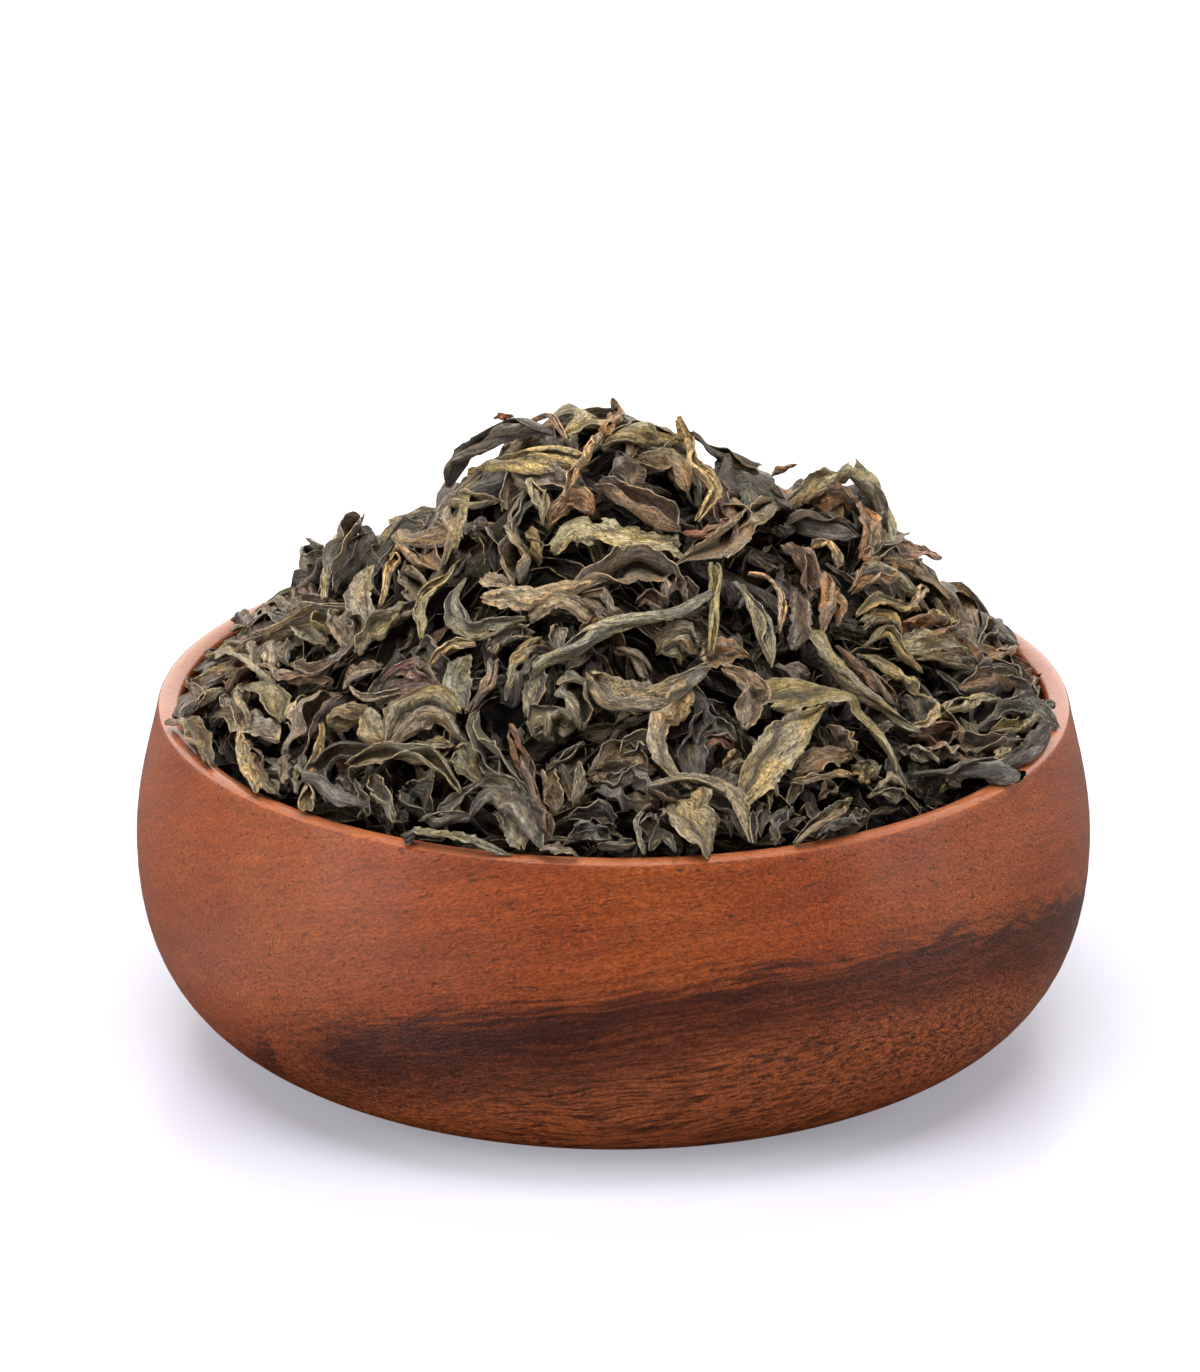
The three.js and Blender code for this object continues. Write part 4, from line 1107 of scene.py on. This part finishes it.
def core_material():
    surface = Surface("packed_tea_painted_shade")
    lumps = surface.noise(surface.own_place_mm(), (0.9, 0.9, 0.9), 6, 0.6)
    # Near-black colours: painted shade for the deep gaps between the leaves
    color = surface.mix(lumps.ramp(0.4, 0.7), (9, 6, 4), (30, 20, 12))
    return surface.finished({"Base Color": color, "Roughness": 0.95, "Normal": surface.bump(lumps, 1.0, 1.2)})


def wood_material(name, coat, pale):
    """Reddish hardwood with its grain along X: a dark streak of fine lines, short pores and a satin coat."""
    surface = Surface(name)
    place = surface.own_place_mm()
    across, back, up = place.parts()
    drift = surface.noise(place, (0.045, 0.06, 0.08))
    level = up - (across * 0.15 + 8.1 - back * 0.302) + (drift - 0.5) * 4.5
    grain = surface.node("ShaderNodeCombineXYZ", {0: across, 1: back, 2: level})
    broad = surface.noise(grain, (0.014, 0.04, 0.25), 3, 0.6)
    lines = surface.noise(grain, (0.03, 0.35, 1.5), 4, 0.66)
    blots = surface.noise(grain, (0.12, 0.12, 0.22), 3, 0.6)
    fibre = surface.noise(grain, (0.85, 2.6, 2.7), 3, 0.72)
    sand = surface.noise(grain, (2.3, 3.0, 3.0), 2, 0.7)
    threads = surface.noise(grain, (0.1, 1.1, 2.9), 3, 0.62)
    pores = surface.noise(grain, (0.62, 1.7, 1.9), 1, 0.4)
    dashes = surface.noise(grain, (0.2, 1.3, 2.3))
    spots = surface.noise(place, (0.04, 0.04, 0.04))

    # Plain wood, lighter in spots and copper below the streak
    color = surface.mix(broad.ramp(0.3, 0.7), (106, 42, 9), (130, 57, 15))
    color = surface.mix(spots.ramp(0.35, 0.7, 0.0, 0.6), color, (134, 68, 27))
    ringed = lines.ramp(0.6, 0.4)
    color = surface.mix(ringed * 0.3, color, (92, 36, 14))
    color = surface.mix(level.ramp(-3, -9, 0.0, 0.6), color, (139, 73, 36))

    # The streak: a wide brown zone, a darker core that breaks up at its left end, and threads under it
    edge = level + ((lines - 0.5) * 6.5 + (blots - 0.5) * 5.0)
    zone = (edge - across.ramp(-5, 12, -9.5, -7.2)).ramp(-3.0, 3.0) * edge.ramp(4.8, -1.6)
    zone = zone * across.ramp(-44, -30)
    core = (edge - across.ramp(-12, 6, -5.6, -1.5)).ramp(-1.4, 1.4) * edge.ramp(2.6, -1.2)
    broken = blots.ramp(0.44, 0.54).larger(across.ramp(-30, -20))
    core = core * (across.ramp(-46, -41) * broken)
    color = surface.mix(zone * 0.62, color, (71, 30, 15))
    color = surface.mix(zone * ringed * 0.6, color, (44, 18, 9))
    thread = threads.ramp(0.54, 0.4) * level.ramp(0.5, -2.5)
    color = surface.mix(thread * 0.62, color, (58, 24, 12))
    color = surface.mix(core * lines.ramp(0.66, 0.46, 0.35, 0.92), color, (54, 22, 14))

    # Pores all over, longer ones low down on the right, fine grain, and painted glints
    low = level.ramp(-5, -10) * across.ramp(-24, -6, 0.25, 1.0)
    pore = pores.ramp(0.66, 0.72, 0.0, 0.75).larger(dashes.ramp(0.56, 0.64) * low)
    color = surface.mix(pore * 0.68, color, (40, 17, 11))
    grainy = fibre.ramp(0.32, 0.68, 0.76, 1.24) + sand.ramp(0.32, 0.68, -0.24, 0.24)
    # Painted glints: small light specks that stand in for the lacquer catching the light
    grainy = grainy + sand.ramp(0.6, 0.74, 0.0, 0.4)
    color = surface.mix(1.0, color, grainy.as_grey(), "MULTIPLY")
    # On the rim, pale is partly its lighter wood, partly a painted sheen for the coat mirroring the bright
    # light behind
    return surface.finished({
        "Base Color": surface.mix(pale, color, (214, 138, 92)),
        "Roughness": fibre.ramp(0.3, 0.7, 0.32, 0.46),
        "Normal": surface.bump(fibre + sand - pore * 0.7, 0.85, 0.17),
        "Coat Weight": back.ramp(-54, -26, 0.09, coat),
        "Coat Roughness": 0.16,
        "Specular IOR Level": 0.19,
    })


def floor_material():
    """Pale floor with a painted soft shadow round the bowl. Glossy rays see it painted dark, but for a bright
    patch on the left: the bowl's coat mirrors it darker than it is in front, a painted reflection which keeps
    the wood's deep tone, and a painted highlight on its left. A painted glow of its own, seen only by the
    camera, lightens the floor and fills the shadow near the bowl, most in front."""
    surface = Surface("pale_floor")
    place = surface.own_place()
    across, back, _ = place.parts()
    away = surface.node("ShaderNodeVectorMath", {0: place}, "Value", operation="LENGTH")
    glossy = surface.node("ShaderNodeLightPath", output="Is Glossy Ray")
    cloud = surface.noise(place, (6, 6, 6), 3)
    color = surface.mix(cloud.ramp(0.3, 0.7), (232, 233, 243), (236, 236, 245))
    # Painted soft shadow: a darker ring round the bowl
    color = surface.mix(away.ramp(0.08, 0.19, 0.85, 0.0), color, (180, 179, 192))
    # Painted reflection: glossy rays see the floor dark, but for a bright patch on the left that paints a
    # highlight on the bowl
    left = across.ramp(-0.055, -0.095) * back.ramp(0.02, -0.04)
    mirrored = surface.mix(left, (48, 42, 40), (236, 234, 232))
    # Painted glow for the camera only: it lightens the floor and fills the shadow near the bowl, most in
    # front
    front = abs(across).ramp(0.085, 0.04) * back.ramp(-0.035, -0.065)
    glow = away.ramp(0.068, 0.05) * (front * 0.42 + 0.15) + front * 0.05 + 0.11
    return surface.finished({
        "Base Color": surface.mix(glossy, color, mirrored),
        "Emission Color": (0.93, 0.92, 1.0, 1),
        "Emission Strength": glossy.output("Is Camera Ray") * glow,
        "Roughness": 0.32,
        "Specular IOR Level": 0.3,
    })


# Setting


def make_floor():
    half = 4.0
    mesh = bpy.data.meshes.new("floor")
    corners = [(-half, -half, 0), (half, -half, 0), (half, half, 0), (-half, half, 0)]
    mesh.from_pydata(corners, [], [(0, 1, 2, 3)])
    mesh.materials.append(floor_material())
    add_object("floor", mesh)


def aim(thing, place, target, roll=0.0):
    thing.location = place
    turn = (Vector(target) - Vector(place)).to_track_quat("-Z", "Y")
    thing.rotation_euler = turn.to_euler("XYZ")
    thing.rotation_euler.rotate_axis("Z", roll)


def make_camera():
    lens = bpy.data.cameras.new("camera")
    lens.lens = LENS
    lens.sensor_width = 36
    lens.clip_start = 0.05
    lens.clip_end = 20
    camera = add_object("camera", lens)
    aim(camera, tuple(EYE * MM), tuple(value * MM for value in AIM), ROLL)
    bpy.context.scene.camera = camera


def make_softbox(name, place, size, power):
    """A round light aimed at the bowl."""
    data = bpy.data.lights.new(name, "AREA")
    data.shape = "DISK"
    data.size = size
    data.energy = power
    aim(add_object(name, data), place, LIGHT_AIM)


def make_light():
    """Light all round, stronger behind the bowl and in what its coat mirrors, and four softboxes. The
    camera sees plain white."""
    world = bpy.data.worlds.new("studio")
    world.use_nodes = True
    tree = NodeTree(world.node_tree)
    _, back, _ = tree.node("ShaderNodeTexCoord", output="Generated").parts()
    reach = {"Value": back, "From Min": -0.8, "From Max": 0.9, "To Min": 0.06, "To Max": 0.66}
    light = tree.node("ShaderNodeMapRange", reach)
    glossy = tree.node("ShaderNodeLightPath", output="Is Glossy Ray")
    seen = glossy.output("Is Camera Ray")
    strength = tree.node("ShaderNodeMix", {0: seen, 2: light * (glossy * 2.2 + 1.0), 3: 1.0})
    colors = {0: seen, 6: (1.0, 0.965, 0.91, 1), 7: (1.0, 0.995, 0.99, 1)}
    color = tree.node("ShaderNodeMix", colors, 2, data_type="RGBA")
    background = tree.nodes["Background"]
    tree.feed(background.inputs["Strength"], strength)
    tree.feed(background.inputs["Color"], color)
    bpy.context.scene.world = world
    bpy.context.scene.view_settings.view_transform = "Standard"
    make_softbox("top_softbox", (-0.04, -0.1, 1.1), 1.1, 20.5)
    make_softbox("front_softbox", (-0.12, -0.7, 0.9), 0.9, 0.95)
    make_softbox("left_card", (-0.9, -0.5, 0.35), 0.8, 8.6)
    make_softbox("right_card", (0.95, -0.3, 0.35), 0.8, 5.9)


# Making it all


def make_tea():
    random = np.random.default_rng(SEED)
    add_shown_leaves(random)
    add_spare_leaves(random)
    add_top_leaves(random)
    add_under_leaves(random)
    add_crumbs(random)
    rolled = leaf_material("dried_rolled_leaf", sheet=False)
    open_leaf = leaf_material("dried_open_leaf", sheet=True)
    deep_leaf = leaf_material("dried_deep_leaf", sheet=True, shine=0.06)
    for name, leaves in bunches.items():
        material = rolled if name in ("roll", "twist", "stem") else open_leaf
        if name in ("under_rolled", "under_open"):
            material = deep_leaf
        make_bunch("tea_" + name, leaves, material)
    make_core(core_material())


make_camera()
make_light()
make_floor()
make_bowl(wood_material("lacquered_wall", 0.2, 0.0), wood_material("lacquered_rim", 0.8, 0.16))
make_tea()
